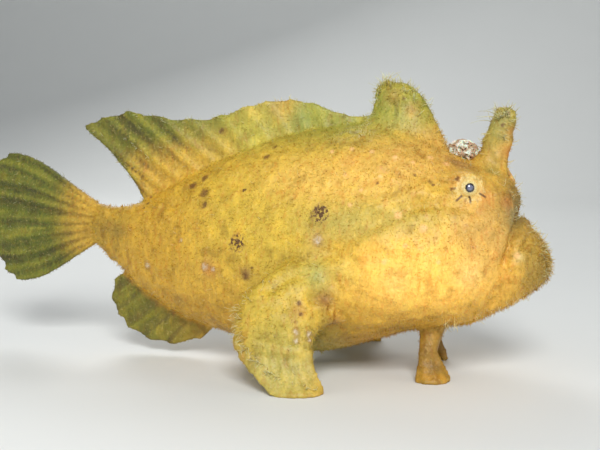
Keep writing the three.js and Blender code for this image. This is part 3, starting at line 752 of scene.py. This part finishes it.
class Finish(Tree):
    """A material, built round one shader."""

    def __init__(self, name):
        self.material = bpy.data.materials.new(name)
        self.material.use_nodes = True
        self.tree = self.material.node_tree
        self.tree.nodes.clear()
        self.shader = self.add("ShaderNodeBsdfPrincipled", {})
        self.add("ShaderNodeOutputMaterial", {"Surface": self.shader.outputs[0]})
        self.object = self.add("ShaderNodeTexCoord", {}).outputs["Object"]

    def attribute(self, name, output="Fac"):
        return self.add("ShaderNodeAttribute", {}, attribute_name=name).outputs[output]

    def noise(self, size, detail=2.0, roughness=0.5, vector=None):
        sizes = {"Scale": 1 / (size * MM), "Detail": detail, "Roughness": roughness}
        return self.add("ShaderNodeTexNoise", {"Vector": vector or self.object, **sizes}).outputs["Fac"]

    def stretched(self, scale):
        return self.add("ShaderNodeMapping", {"Vector": self.object, "Scale": scale}).outputs[0]

    def cells(self, size):
        node = self.add("ShaderNodeTexVoronoi", {"Vector": self.object, "Scale": 1 / (size * MM)})
        return node.outputs["Distance"]

    def ramp(self, value, low, high, start=0.0, end=1.0):
        inputs = dict(enumerate((value, low, high, start, end)))
        return self.add("ShaderNodeMapRange", inputs, interpolation_type="SMOOTHSTEP").outputs["Result"]

    def math(self, operation, first, second=0.0):
        return self.add("ShaderNodeMath", {0: first, 1: second}, operation=operation).outputs[0]

    def mix(self, share, first, second, blend="MIX"):
        """Two colours mixed. Each is a socket, a tuple of screen values or an array of linear ones."""
        inputs = {0: share}
        for index, value in ((6, first), (7, second)):
            value = linear(*value) if isinstance(value, tuple) else value
            inputs[index] = (*value, 1) if isinstance(value, np.ndarray) else value
        return self.add("ShaderNodeMix", inputs, data_type="RGBA", blend_type=blend).outputs[2]

    def layered(self, colour, layers):
        """Colours laid over one another, each where its value goes from low to high, up to its share."""
        for value, low, high, share, tint in layers:
            colour = self.mix(self.ramp(value, low, high, 0, share), colour, tint)
        return colour

    def bump(self, height, strength, distance, **normal):
        inputs = {"Height": height, "Strength": strength, "Distance": distance * MM, **normal}
        return self.add("ShaderNodeBump", inputs).outputs[0]

    def set(self, **sockets):
        for name, value in sockets.items():
            self.put(value, self.shader.inputs[name.replace("_", " ")])


def around_eye(made, name, side):
    """Coordinates in mm round an eye's axis: across, up and out, and the distance from the axis."""
    place = {
        "Vector": made.object,
        "Location": scene_point(eye_centre(name)),
        "Rotation": Vector(gaze(side)).to_track_quat("Z", "Y").to_euler(),
        "Scale": (MM, MM, MM),
    }
    mapping = made.add("ShaderNodeMapping", place, vector_type="TEXTURE")
    x, y, z = made.add("ShaderNodeSeparateXYZ", {0: mapping.outputs[0]}).outputs
    square = made.math("ADD", made.math("MULTIPLY", x, x), made.math("MULTIPLY", y, y))
    return x, y, z, made.math("SQRT", square)


# Dark streaks that point at each pupil: turn in degrees from the front, start and end in mm, and strength
EYE_STREAKS = [
    (-137, 3.0, 5.3, 1), (-91, 2.2, 4.1, 1), (-31, 2.9, 5.0, 1), (146, 3.1, 4.6, 0.5), (182, 3.6, 5.2, 0.7),
    (112, 2.9, 3.6, 0.4), (38, 3.2, 4.2, 0.35), (-62, 3.4, 4.4, 0.3), (-112, 3.0, 4.2, 0.4),
]


def eye_streaks(made, x, y, side, width):
    """1 on the dark streaks round an eye."""
    strength = 0.0
    for degrees, start, end, full in EYE_STREAKS:
        turn = math.radians(degrees if side < 0 else 180 - degrees)
        c, s = math.cos(turn), math.sin(turn)
        along = made.math("ADD", made.math("MULTIPLY", x, c), made.math("MULTIPLY", y, s))
        off = made.math("SUBTRACT", made.math("MULTIPLY", y, c), made.math("MULTIPLY", x, s))
        thin = made.ramp(made.math("ABSOLUTE", off), width, width * 0.35)
        inside = made.math("MULTIPLY", made.ramp(along, start - 0.3, start + 0.1), thin)
        inside = made.math("MULTIPLY", made.ramp(along, end + 0.3, end - 0.5, 0, full), inside)
        strength = made.math("MAXIMUM", strength, inside)
    return strength


def skin_colour(made):
    """The colours that skin and coat share, from the attributes and fine noise."""
    tone = made.attribute("tone", "Color")
    mottle = made.noise(4.5, 4, 0.6)
    fine = made.noise(0.8, 3, 0.65)
    streaks = made.noise(1.5, 3, 0.6, made.stretched((1.0, 1.0, 0.28)))
    light = made.mix(1.0, tone, (255, 232, 210), "SOFT_LIGHT")
    dull = made.mix(1.0, tone, (186, 176, 130), "MULTIPLY")
    warm = made.mix(1.0, tone, (246, 196, 140), "MULTIPLY")

    def broken(mark, low, high, least, most):
        """A mark's strength, broken up by the fine noise."""
        return made.math("MULTIPLY", made.attribute(mark), made.ramp(fine, low, high, least, most))

    pale = broken("patch", 0.3, 0.7, 0.6, 1.4)
    speck = broken("starburst", 0.35, 0.65, 0.1, 2.0)
    blot = broken("spot", 0.3, 0.7, 0.7, 1.4)
    layers = [
        (mottle, 0.5, 0.7, 0.5, light),
        (mottle, 0.5, 0.3, 0.6, dull),
        (streaks, 0.52, 0.68, 0.4, light),
        (streaks, 0.48, 0.32, 0.4, warm),
        (fine, 0.54, 0.75, 0.22, (246, 214, 150)),
        (fine, 0.44, 0.28, 0.25, (150, 98, 32)),
        (made.noise(0.5, 2, 0.5), 0.68, 0.76, 0.25, (104, 64, 20)),
        (made.attribute("wart"), 0.25, 0.8, 0.65, PINKISH),
        (pale, 0.05, 0.4, 0.3, UMBER),
        (pale, 0.35, 0.95, 0.7, PALE_GREY),
    ]
    colour = made.layered(tone, layers)
    for name, side in SIDES.items():
        x, y, z, reach = around_eye(made, name, side)
        facing = made.ramp(z, 0.4, 1.4)
        ragged = made.math("ADD", reach, made.ramp(fine, 0.3, 0.7, -1.2, 1.2))
        ring = made.math("MULTIPLY", made.ramp(ragged, 4.5, 2.4, 0, 0.6), facing)
        colour = made.mix(ring, colour, CREAM)
        marks = made.math("MULTIPLY", eye_streaks(made, x, y, side, 0.42), facing)
        colour = made.mix(made.math("MULTIPLY", marks, 0.85), colour, (84, 48, 18))
    layers = [
        (speck, 0.1, 0.6, 0.4, UMBER),
        (speck, 0.4, 0.8, 0.9, BROWN),
        (blot, 0.15, 0.85, 0.8, (90, 48, 16)),
    ]
    return made.layered(colour, layers), fine


def skin_material():
    made = Finish("skin")
    colour, fine = skin_colour(made)
    pebbles = made.cells(0.75)
    first = made.bump(made.math("SUBTRACT", 1.0, pebbles), 0.5, 0.22)
    second = made.bump(fine, 0.5, 0.25, Normal=first)
    made.set(
        Base_Color=colour,
        Roughness=made.ramp(fine, 0.3, 0.7, 0.48, 0.68),
        Normal=second,
        Subsurface_Weight=0.1,
        Subsurface_Radius=(1.0, 0.45, 0.2),
        Subsurface_Scale=0.0015,
        Coat_Weight=0.06,
        Coat_Roughness=0.3,
    )
    return made.material


def coat_material(name, tip_colour, most, blend="MIX"):
    """Skin's own colours at the roots, paler towards the tips."""
    made = Finish(name)
    colour, _ = skin_colour(made)
    share = made.math("MULTIPLY", made.attribute("tip"), most)
    made.set(
        Base_Color=made.mix(share, colour, tip_colour, blend),
        Roughness=0.75,
        Specular_IOR_Level=0.3,
        Subsurface_Weight=0.15,
        Subsurface_Scale=0.0008,
    )
    return made.material


def eye_material(name, side):
    """Pupil, pale iris with a dark rim and streaks, all round the eye's own axis."""
    made = Finish(f"eye_{name}")
    x, y, _, reach = around_eye(made, name, side)
    grain = made.noise(0.35, 3, 0.6)
    iris = made.mix(made.ramp(grain, 0.4, 0.65), (220, 204, 142), (196, 170, 100))
    iris = made.mix(made.ramp(reach, 1.6, 2.7, 0, 0.75), iris, (196, 160, 88))
    iris = made.mix(made.math("MULTIPLY", eye_streaks(made, x, y, side, 0.36), 0.85), iris, BROWN)
    wavy = made.math("ADD", reach, made.ramp(grain, 0.3, 0.7, -0.1, 0.1))
    ring = made.mix(made.ramp(wavy, 1.12, 1.32), (26, 24, 26), iris)
    pupil = made.mix(made.ramp(reach, 0.5, 0.95), (104, 108, 128), ring)
    made.set(
        Base_Color=pupil,
        Roughness=0.22,
        Coat_Weight=1.0,
        Coat_Roughness=0.02,
        Coat_IOR=1.4,
    )
    return made.material


def make_eye(name, side):
    """An eyeball with a raised cornea in front."""
    centre = Vector(eye_centre(name) + SHIFT)
    turn = Vector(gaze(side)).to_track_quat("Z", "Y")
    height, width = CORNEA

    def placed(point):
        if point.z > 0:
            point.z += height * math.exp(-((math.hypot(point.x, point.y) / width) ** 2))
        return (turn @ point + centre) * MM

    ball = bmesh.new()
    bmesh.ops.create_uvsphere(ball, u_segments=64, v_segments=48, radius=EYE_RADIUS)
    return round_piece(f"eyeball_{name}", eye_material(name, side), ball, placed)


class Strands:
    """Many thin tapered strands joined in one mesh, each with a patch of its own in the OFBake map."""

    def __init__(self, sides=3):
        self.points = []
        self.faces = []
        self.flat = []
        self.tips = []
        self.roots = []
        self.sides = sides

    def add(self, path, radius, patch, blunt=0.15):
        """A strand along the path's points, tapering from radius to blunt times it."""
        path = [np.array(p, float) for p in path]
        start = len(self.points)
        first_face = len(self.faces)
        last = len(path) - 1
        ahead = path[1] - path[0]
        across = np.cross(ahead, [0.31, 0.52, 0.8])
        across /= np.linalg.norm(across)
        for step, place in enumerate(path):
            along = path[min(step + 1, last)] - path[max(step - 1, 0)]
            along /= np.linalg.norm(along)
            across = across - along * (across @ along)
            across /= np.linalg.norm(across)
            other = np.cross(along, across)
            share = step / last
            thick = radius * (1 - (1 - blunt) * share)
            for corner in range(self.sides):
                turn = 2 * math.pi * corner / self.sides
                out = math.cos(turn) * across + math.sin(turn) * other
                self.points.append(place + thick * out)
                self.tips.append(share)
                self.roots.append(path[0])
        for step in range(last):
            for corner in range(self.sides):
                low = start + step * self.sides
                high = low + self.sides
                after = (corner + 1) % self.sides
                self.faces.append((low + corner, low + after, high + after, high + corner))
        self.faces.append(tuple(start + corner for corner in reversed(range(self.sides))))
        end = start + last * self.sides
        self.faces.append(tuple(end + corner for corner in range(self.sides)))
        for face in self.faces[first_face:]:
            for item in range(len(face)):
                turn = 2 * math.pi * item / len(face)
                self.flat.append((patch[0] + PATCH * math.cos(turn), patch[1] + PATCH * math.sin(turn)))

    def object(self, name, material):
        mesh = mesh_from(name, self.points, self.faces)
        layer = mesh.uv_layers.new(name="OFBake")
        layer.data.foreach_set("uv", np.array(self.flat).ravel())
        tip = mesh.attributes.new("tip", "FLOAT", "POINT")
        tip.data.foreach_set("value", self.tips)
        smooth(mesh)
        if material:
            mesh.materials.append(material)
        return add_object(name, mesh)


PATCH = 0.0015  # half the width of a strand's patch in the OFBake map
# A root's place on an unwrap of the skin: along the body, and by its turn round a line at UNWRAP_HEIGHT
UNWRAP_HEIGHT = 36.0
UNWRAP = (0.97 / 195, 0.015 + 0.97 * 115 / 195, 0.97 / (2 * math.pi), 0.5)
BRISTLE_RADIUS = 0.075
SWEEP = (-0.35, 0.0, 0.06)  # the way that all bristles lean
FUZZ_LENGTH = 0.85
COAT_INPUTS = {"Skin": "Geometry", "Bristle": "Object", "Finish": "Material", "Per square mm": "Float"}
COAT_INPUTS |= {"Length": "Float", "From": "Float", "To": "Float", "Seed": "Int"}
# Pieces of fuzz: from and to along the fish in mm, and bristles for each square mm
FUZZ = [
    ("fuzz_head", 34, 90, 1.5),
    ("fuzz_trunk", -12, 34, 1.1),
    ("fuzz_rear", -60, -12, 1.0),
    ("fuzz_tail", -120, -60, 1.3),
]


def unwrapped(place):
    turn = math.atan2(place[1], place[2] - UNWRAP_HEIGHT)
    return place[0] * UNWRAP[0] + UNWRAP[1], turn * UNWRAP[2] + UNWRAP[3]


def aside(direction, draw):
    """A random direction square to that one."""
    side = np.cross(direction, [draw.uniform(-1, 1) for _ in range(3)])
    return side / max(np.linalg.norm(side), 1e-6)


def curl(start, direction, length, bend, draw, steps=5):
    """A path that leaves start along direction and bends aside, by a random amount."""
    direction = np.array(direction, float)
    direction /= np.linalg.norm(direction)
    side = aside(direction, draw)
    path = [np.array(start, float) - 0.3 * direction]
    for step in range(1, steps + 1):
        share = step / steps
        path.append(start + length * share * direction + bend * length * share**2 * side)
    return path


def bristle():
    """One soft bristle a millimetre long, leaning over, with its own small patch of the OFBake map."""
    strand = Strands(3)
    path = [(0, 0, -0.25), (0.1, 0, 0.5), (0.42, 0, 0.95)]
    strand.add(path, BRISTLE_RADIUS, (0, 0), 0.3)
    made = strand.object("bristle", None)
    made.data.transform(Matrix.Translation(Vector(-SHIFT * MM)))
    made.data.uv_layers.remove(made.data.uv_layers["OFBake"])
    flat = made.data.attributes.new("flat", "FLOAT_VECTOR", "CORNER")
    flat.data.foreach_set("vector", np.array([(u, v, 0) for u, v in strand.flat]).ravel())
    return made


class Grower(Tree):
    """The Geometry Nodes tree that grows the coat."""

    def __init__(self, name):
        self.tree = bpy.data.node_groups.new(name, "GeometryNodeTree")
        self.sockets = {}
        self.start = self.add("NodeGroupInput", {})
        self.end = self.add("NodeGroupOutput", {})

    def takes(self, name, kind):
        socket = self.tree.interface.new_socket(name, in_out="INPUT", socket_type=f"NodeSocket{kind}")
        self.sockets[name] = socket.identifier

    def given(self, name):
        return self.start.outputs[name]

    def field(self, name, kind="FLOAT"):
        return self.add("GeometryNodeInputNamedAttribute", {"Name": name}, data_type=kind).outputs[0]

    def stored(self, geometry, name, value, kind, domain):
        inputs = {"Geometry": geometry, "Name": name, "Value": value}
        node = self.add("GeometryNodeStoreNamedAttribute", inputs, data_type=kind, domain=domain)
        return node.outputs[0]

    def work(self, operation, first, second=0.0):
        return self.add("ShaderNodeMath", {0: first, 1: second}, operation=operation).outputs[0]

    def sum(self, first, second):
        return self.add("ShaderNodeVectorMath", {0: first, 1: second}, operation="ADD").outputs[0]


def coat_tree():
    """Bristles over the skin between two places along the fish, each at a random turn and size."""
    grow = Grower("coat")
    for name, kind in COAT_INPUTS.items():
        grow.takes(name, kind)
    grow.tree.interface.new_socket("Coat", in_out="OUTPUT", socket_type="NodeSocketGeometry")
    place = grow.add("GeometryNodeInputPosition", {}).outputs[0]
    split = grow.add("ShaderNodeSeparateXYZ", {0: place})
    x = grow.work("SUBTRACT", grow.work("DIVIDE", split.outputs[0], MM), float(SHIFT[0]))
    y = grow.work("SUBTRACT", grow.work("DIVIDE", split.outputs[1], MM), float(SHIFT[1]))
    z = grow.work("DIVIDE", split.outputs[2], MM)
    past_start = grow.work("GREATER_THAN", x, grow.given("From"))
    inside = grow.work("MULTIPLY", past_start, grow.work("LESS_THAN", x, grow.given("To")))
    density = grow.work("MULTIPLY", grow.given("Per square mm"), 1 / MM**2)
    density = grow.work("MULTIPLY", density, grow.work("MULTIPLY", grow.field("cover"), inside))
    points = grow.add(
        "GeometryNodeDistributePointsOnFaces",
        {"Mesh": grow.given("Skin"), "Density": density, "Seed": grow.given("Seed")},
    )
    turn = grow.work("ARCTAN2", y, grow.work("SUBTRACT", z, UNWRAP_HEIGHT))
    u = grow.work("ADD", grow.work("MULTIPLY", x, UNWRAP[0]), UNWRAP[1])
    v = grow.work("ADD", grow.work("MULTIPLY", turn, UNWRAP[2]), UNWRAP[3])
    root = grow.add("ShaderNodeCombineXYZ", {"X": u, "Y": v}).outputs[0]
    rooted = grow.stored(points.outputs["Points"], "root", root, "FLOAT_VECTOR", "POINT")
    swept = grow.sum(points.outputs["Normal"], SWEEP)
    upright = grow.add("FunctionNodeAlignRotationToVector", {"Vector": swept}, axis="Z")
    spin = grow.add(
        "FunctionNodeRandomValue",
        {"Max": (0.5, 0.5, 2 * math.pi), "Min": (-0.5, -0.5, 0.0), "Seed": grow.given("Seed")},
        data_type="FLOAT_VECTOR",
    )
    turned = grow.add(
        "FunctionNodeRotateRotation",
        {"Rotation": upright.outputs[0], "Rotate By": spin.outputs[0]},
        rotation_space="LOCAL",
    )
    vary = grow.add(
        "FunctionNodeRandomValue", {2: 0.6, 3: 1.25, "Seed": grow.given("Seed")}, data_type="FLOAT"
    )
    tall = grow.work("MULTIPLY", grow.field("hair"), grow.given("Length"))
    tall = grow.work("MULTIPLY", vary.outputs[1], tall)
    size = grow.add("ShaderNodeCombineXYZ", {"X": 1.0, "Y": 1.0, "Z": tall}).outputs[0]
    bristle_object = {"Object": grow.given("Bristle")}
    shape = grow.add("GeometryNodeObjectInfo", bristle_object, transform_space="ORIGINAL")
    instances = {
        "Points": rooted,
        "Instance": shape.outputs["Geometry"],
        "Rotation": turned.outputs[0],
        "Scale": size,
    }
    placed = grow.add("GeometryNodeInstanceOnPoints", instances)
    real = grow.add("GeometryNodeRealizeInstances", {"Geometry": placed.outputs[0]})
    patch = grow.sum(grow.field("flat", "FLOAT_VECTOR"), grow.field("root", "FLOAT_VECTOR"))
    mapped = grow.stored(real.outputs[0], "OFBake", patch, "FLOAT2", "CORNER")
    finish = grow.add("GeometryNodeSetMaterial", {"Geometry": mapped, "Material": grow.given("Finish")})
    grow.tree.links.new(finish.outputs[0], grow.end.inputs[0])
    return grow


def make_fuzz(skin, material):
    """Soft bristles all over the skin, in one piece for each length of the fish."""
    grow = coat_tree()
    shape = bristle()
    made = []
    for index, (name, start, end, density) in enumerate(FUZZ):
        fuzz = add_object(name, skin.data.copy())
        modifier = fuzz.modifiers.new("coat", "NODES")
        modifier.node_group = grow.tree
        given = {
            "Bristle": shape,
            "Finish": material,
            "Per square mm": density,
            "Length": FUZZ_LENGTH,
            "From": start,
            "To": end,
            "Seed": index + 5,
        }
        for key, value in given.items():
            modifier[grow.sockets[key]] = value
        finished(fuzz)
        for layer in ("flat", "root", "cover", "hair"):
            fuzz.data.attributes.remove(fuzz.data.attributes[layer])
        made.append(fuzz)
    bpy.data.objects.remove(shape)
    return made


def copy_tones(coat, strands, skin):
    """Gives each strand the skin's colours and marks at its root."""
    places, _ = points_of(skin.data)
    tree = tree_of(places)
    nearest = np.array([tree.find(root.tolist())[1] for root in strands.roots])
    count = len(places)
    tone = np.empty(count * 4)
    skin.data.color_attributes["tone"].data.foreach_get("color", tone)
    layer = coat.data.color_attributes.new("tone", "FLOAT_COLOR", "POINT")
    layer.data.foreach_set("color", tone.reshape(-1, 4)[nearest].ravel())
    for name in ("starburst", "spot", "wart", "patch"):
        values = np.empty(count)
        skin.data.attributes[name].data.foreach_get("value", values)
        layer = coat.data.attributes.new(name, "FLOAT", "POINT")
        layer.data.foreach_set("value", values[nearest])


# Groves of long filaments: pixels of the photograph along which they grow, how many, their length in mm,
# and the way they point as across and up in the photograph
GROVES = [
    ([(378, 96), (380, 88), (386, 82), (394, 79), (402, 82)], 60, 3.0, (-0.1, 1)),
    ([(408, 86), (414, 87), (421, 96), (428, 110)], 40, 2.3, (0.5, 0.8)),
    ([(379, 112), (378, 100), (380, 90)], 22, 2.0, (-1, 0.2)),
    ([(490, 124), (494, 113), (500, 107), (508, 106), (516, 108), (518, 116)], 60, 2.3, (0, 1)),
    ([(490, 122), (494, 112), (500, 107)], 16, 4.4, (-1, 0.75)),
    ([(518, 112), (517, 124), (515, 138), (511, 156), (509, 170)], 52, 2.0, (1, 0.1)),
    ([(488, 130), (484, 142), (481, 152)], 22, 1.7, (-1, 0.1)),
    ([(511, 178), (516, 186), (517, 198)], 34, 2.0, (1, 0.5)),
    ([(517, 198), (519, 212), (521, 222)], 22, 1.5, (1, 0.1)),
    ([(527, 227), (536, 234), (543, 248), (547, 262), (546, 276)], 110, 1.8, (1, 0)),
    ([(540, 286), (520, 296), (499, 306), (478, 316), (450, 322)], 56, 1.6, (0.2, -1)),
    ([(446, 318), (450, 322), (456, 320)], 12, 2.8, (0, -1)),
    ([(240, 304), (239, 318), (241, 334), (247, 352), (262, 366), (285, 382)], 160, 2.3, (-1, -0.3)),
    ([(240, 306), (252, 293), (275, 284)], 24, 1.3, (-0.5, 1)),
    ([(290, 384), (305, 391), (322, 390), (324, 378)], 40, 1.3, (0.2, -0.3)),
    (
        [(125, 111), (165, 118), (200, 120), (240, 109), (290, 99), (340, 110), (372, 118)],
        120,
        1.1,
        (-0.2, 1),
    ),
    ([(86, 129), (99, 139), (118, 160), (138, 180)], 40, 1.0, (-1, -0.2)),
    ([(446, 150), (452, 156), (462, 160), (478, 158)], 26, 1.8, (0, 1)),
    ([(436, 132), (442, 142), (448, 150)], 22, 1.6, (1, 0.6)),
]
GROVE_SPREAD = 2.2  # how far, in pixels, the roots stray from a grove's line
BARE_FOOT = 1.5  # no filaments grow lower than this, in mm
STRAY_FILAMENTS = 500


def make_filaments(skin, camera, material):
    """The longer filaments at the edges and tips, and a few scattered over both sides."""
    tree = surface_of(skin)
    draw = random.Random(7)
    strands = Strands(4)
    right = np.array(camera.rotation_quaternion @ Vector((1, 0, 0)))
    up = np.array(camera.rotation_quaternion @ Vector((0, 1, 0)))
    for pixels, count, length, (across, rise) in GROVES:
        lean = across * right + rise * up
        for _ in range(count):
            part = draw.uniform(0, len(pixels) - 1.001)
            first = int(part)
            low, high = np.array(pixels[first : first + 2])
            spot = low + (part - first) * (high - low) + [draw.gauss(0, GROVE_SPREAD) for _ in range(2)]
            start, direction = photo_ray(camera, spot)
            hit, normal = tree.ray_cast(start, direction)[:2]
            if hit is None:
                hit, normal = tree.find_nearest(start + direction * VIEW_DISTANCE * MM)[:2]
            if draw.random() < 0.5:
                mirrored = Vector((hit.x, 2 * SHIFT[1] * MM - hit.y, hit.z))
                hit, normal = tree.find_nearest(mirrored)[:2]
            place = np.array(hit) / MM - SHIFT
            if place[2] < BARE_FOOT:
                continue
            way = np.array(normal) + 1.1 * lean + [draw.gauss(0, 0.35) for _ in range(3)]
            reach = length * draw.uniform(0.45, 1.25)
            strands.add(
                curl(place, way, reach, draw.uniform(0.15, 0.9), draw, 6),
                draw.uniform(0.07, 0.12),
                unwrapped(place),
                0.4,
            )
    places, normals = points_of(skin.data)
    for _ in range(STRAY_FILAMENTS):
        index = draw.randrange(len(places))
        if places[index][2] < 4:
            continue
        way = normals[index] + [-0.4, 0, 0.3]
        strands.add(
            curl(places[index], way, draw.uniform(0.9, 1.7), 0.6, draw),
            draw.uniform(0.06, 0.1),
            unwrapped(places[index]),
        )
    return strands.object("filaments", material), strands


def lure_material(name, dark, pale):
    """Pale and dark blotches, darker at the roots of curls."""
    made = Finish(name)
    grain = made.noise(2.0, 3, 0.6)
    colour = made.mix(made.ramp(grain, 0.42, 0.6), dark, pale)
    colour = made.mix(made.ramp(made.attribute("tip"), 0.35, 0.0, 0, 0.6), colour, dark)
    made.set(Base_Color=colour, Roughness=0.55, Subsurface_Weight=0.3, Subsurface_Scale=0.001)
    return made.material


# The lure's rod, laid back on the left side of the second spine, and the middle of its tassel
ROD_PATH = [(60, 2.4, 50), (60.2, 3.4, 53.4), (58, 4.6, 57), (54, 4.9, 60), (50.4, 3.4, 61.4), (47.4, 1, 62)]
ROD_RADIUS = 0.6
TASSEL = (46.5, -0.8, 61.9)
TASSEL_RADIUS = (4.4, 3.4, 3.1)
TASSEL_CORE = 0.72  # the core's size, as a share of the tassel's
CURL_COUNT = 200


def make_lure():
    material = lure_material("lure", (172, 138, 106), (228, 224, 206))
    rod_material = lure_material("rod", (166, 124, 60), (204, 164, 88))
    rod = Strands(8)
    path = [Vector(p) for p in ROD_PATH]
    fine = [first.lerp(second, step / 4) for first, second in zip(path, path[1:]) for step in range(4)]
    rod.add([*fine, path[-1]], ROD_RADIUS, (0.2, 0.2), 0.8)
    rod_piece = rod.object("rod", rod_material)
    draw = random.Random(3)
    tassel = Strands(5)
    golden = math.pi * (3 - math.sqrt(5))
    for index in range(CURL_COUNT):
        height = 1 - 1.5 * index / CURL_COUNT
        flat = math.sqrt(max(0, 1 - height * height))
        turn = index * golden
        out = np.array([flat * math.cos(turn), flat * math.sin(turn), height])
        side = aside(out, draw)
        swirl = draw.uniform(0.45, 1.2)
        path = []
        for step in range(7):
            share = step / 6
            way = out + side * swirl * (share + 0.08 * math.sin(9 * share))
            rise = 0.66 + 0.3 * math.sin(math.pi * (0.1 + 0.75 * share))
            path.append(np.array(TASSEL) + way / np.linalg.norm(way) * TASSEL_RADIUS * rise)
        tassel.add(path, draw.uniform(0.3, 0.45), (0.05 + 0.9 * index / CURL_COUNT, 0.5), 0.45)
    core = bmesh.new()
    bmesh.ops.create_icosphere(core, subdivisions=4, radius=TASSEL_CORE)

    def placed(point):
        return scene_point(np.array(TASSEL) + np.array(point) * TASSEL_RADIUS)

    tassel_piece = tassel.object("tassel", material)
    core_piece = round_piece("tassel_core", material, core, placed)
    return rod_piece, tassel_piece, core_piece


def plain_material(name, colour, roughness):
    made = Finish(name)
    even = linear(*colour)
    grain = made.ramp(made.noise(40, 2, 0.5), 0.3, 0.7, 0, 0.04)
    made.set(Base_Color=made.mix(grain, even, even * 0.8), Roughness=roughness)
    return made.material


# The studio, in metres: a floor that is flat as far as FLOOR_BACK, then curves up into a wall
FLOOR_REACH = 4.0
FLOOR_BACK = 0.7
FLOOR_CURVE = 0.4
FLOOR_STEPS = 12
WALL_TOP = 2.0
# Lights: name, place, size and power
LIGHTS = [
    ("key", (0.22, -0.66, 0.5), 0.3, 6.6),
    ("fill", (-0.7, -0.5, 0.35), 0.7, 1.4),
    ("rim", (-0.35, 0.7, 0.6), 0.5, 3.6),
    ("front", (0.8, -0.15, 0.25), 0.4, 0.8),
]
LIT_POINT = Vector((0, 0, 0.03))
WORLD_COLOUR = (0.92, 0.96, 1, 1)
WORLD_STRENGTH = 0.24


def make_studio():
    """A pale floor that curves up behind the fish, and soft lights."""
    profile = [(-FLOOR_REACH, 0.0), (FLOOR_BACK, 0.0)]
    for step in range(1, FLOOR_STEPS + 1):
        turn = math.radians(90 * step / FLOOR_STEPS)
        back = FLOOR_BACK + FLOOR_CURVE * math.sin(turn)
        profile.append((back, FLOOR_CURVE - FLOOR_CURVE * math.cos(turn)))
    profile.append((FLOOR_BACK + FLOOR_CURVE, WALL_TOP))
    points = [(x, y, z) for y, z in profile for x in (-FLOOR_REACH, FLOOR_REACH)]
    faces = [(2 * i, 2 * i + 1, 2 * i + 3, 2 * i + 2) for i in range(len(profile) - 1)]
    mesh = bpy.data.meshes.new("floor")
    mesh.from_pydata(points, [], faces)
    smooth(mesh)
    mesh.materials.append(plain_material("floor", (222, 224, 222), 0.7))
    floor = add_object("floor", mesh)
    for name, place, size, power in LIGHTS:
        data = bpy.data.lights.new(name, "AREA")
        data.size = size
        data.energy = power
        light = bpy.data.objects.new(name, data)
        light.location = place
        light.rotation_euler = (LIT_POINT - Vector(place)).to_track_quat("-Z", "Y").to_euler()
        bpy.context.scene.collection.objects.link(light)
    world = bpy.data.worlds.new("studio")
    world.use_nodes = True
    background = world.node_tree.nodes["Background"]
    background.inputs["Color"].default_value = WORLD_COLOUR
    background.inputs["Strength"].default_value = WORLD_STRENGTH
    bpy.context.scene.world = world
    bpy.context.scene.view_settings.view_transform = "Standard"


camera = make_camera()
make_studio()
skin = make_skin(camera)
skin.data.materials.append(skin_material())
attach(skin, "root")
skin_nodes = [node for node in BODY_NODES if not node.startswith("eye")]
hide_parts(*skin_nodes, *MEDIAN_FIN_NODES, *PAIRED_FIN_NODES)

fuzz_material = coat_material("fuzz", (246, 226, 190), 0.5, "SOFT_LIGHT")
strand_material = coat_material("filament", (226, 226, 188), 0.7)
filaments, strands = make_filaments(skin, camera, strand_material)
copy_tones(filaments, strands, skin)
for coat in [*make_fuzz(skin, fuzz_material), filaments]:
    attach(coat, "root")
for layer in ("hair", "cover"):
    skin.data.attributes.remove(skin.data.attributes[layer])

for name, side in SIDES.items():
    eye = make_eye(name, side)
    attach(eye, "root")
    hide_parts(f"eye_{name}")

rod, tassel, tassel_core = make_lure()
for piece in (rod, tassel, tassel_core):
    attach(piece, "root")
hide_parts("fishing_rod")
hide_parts("lure")
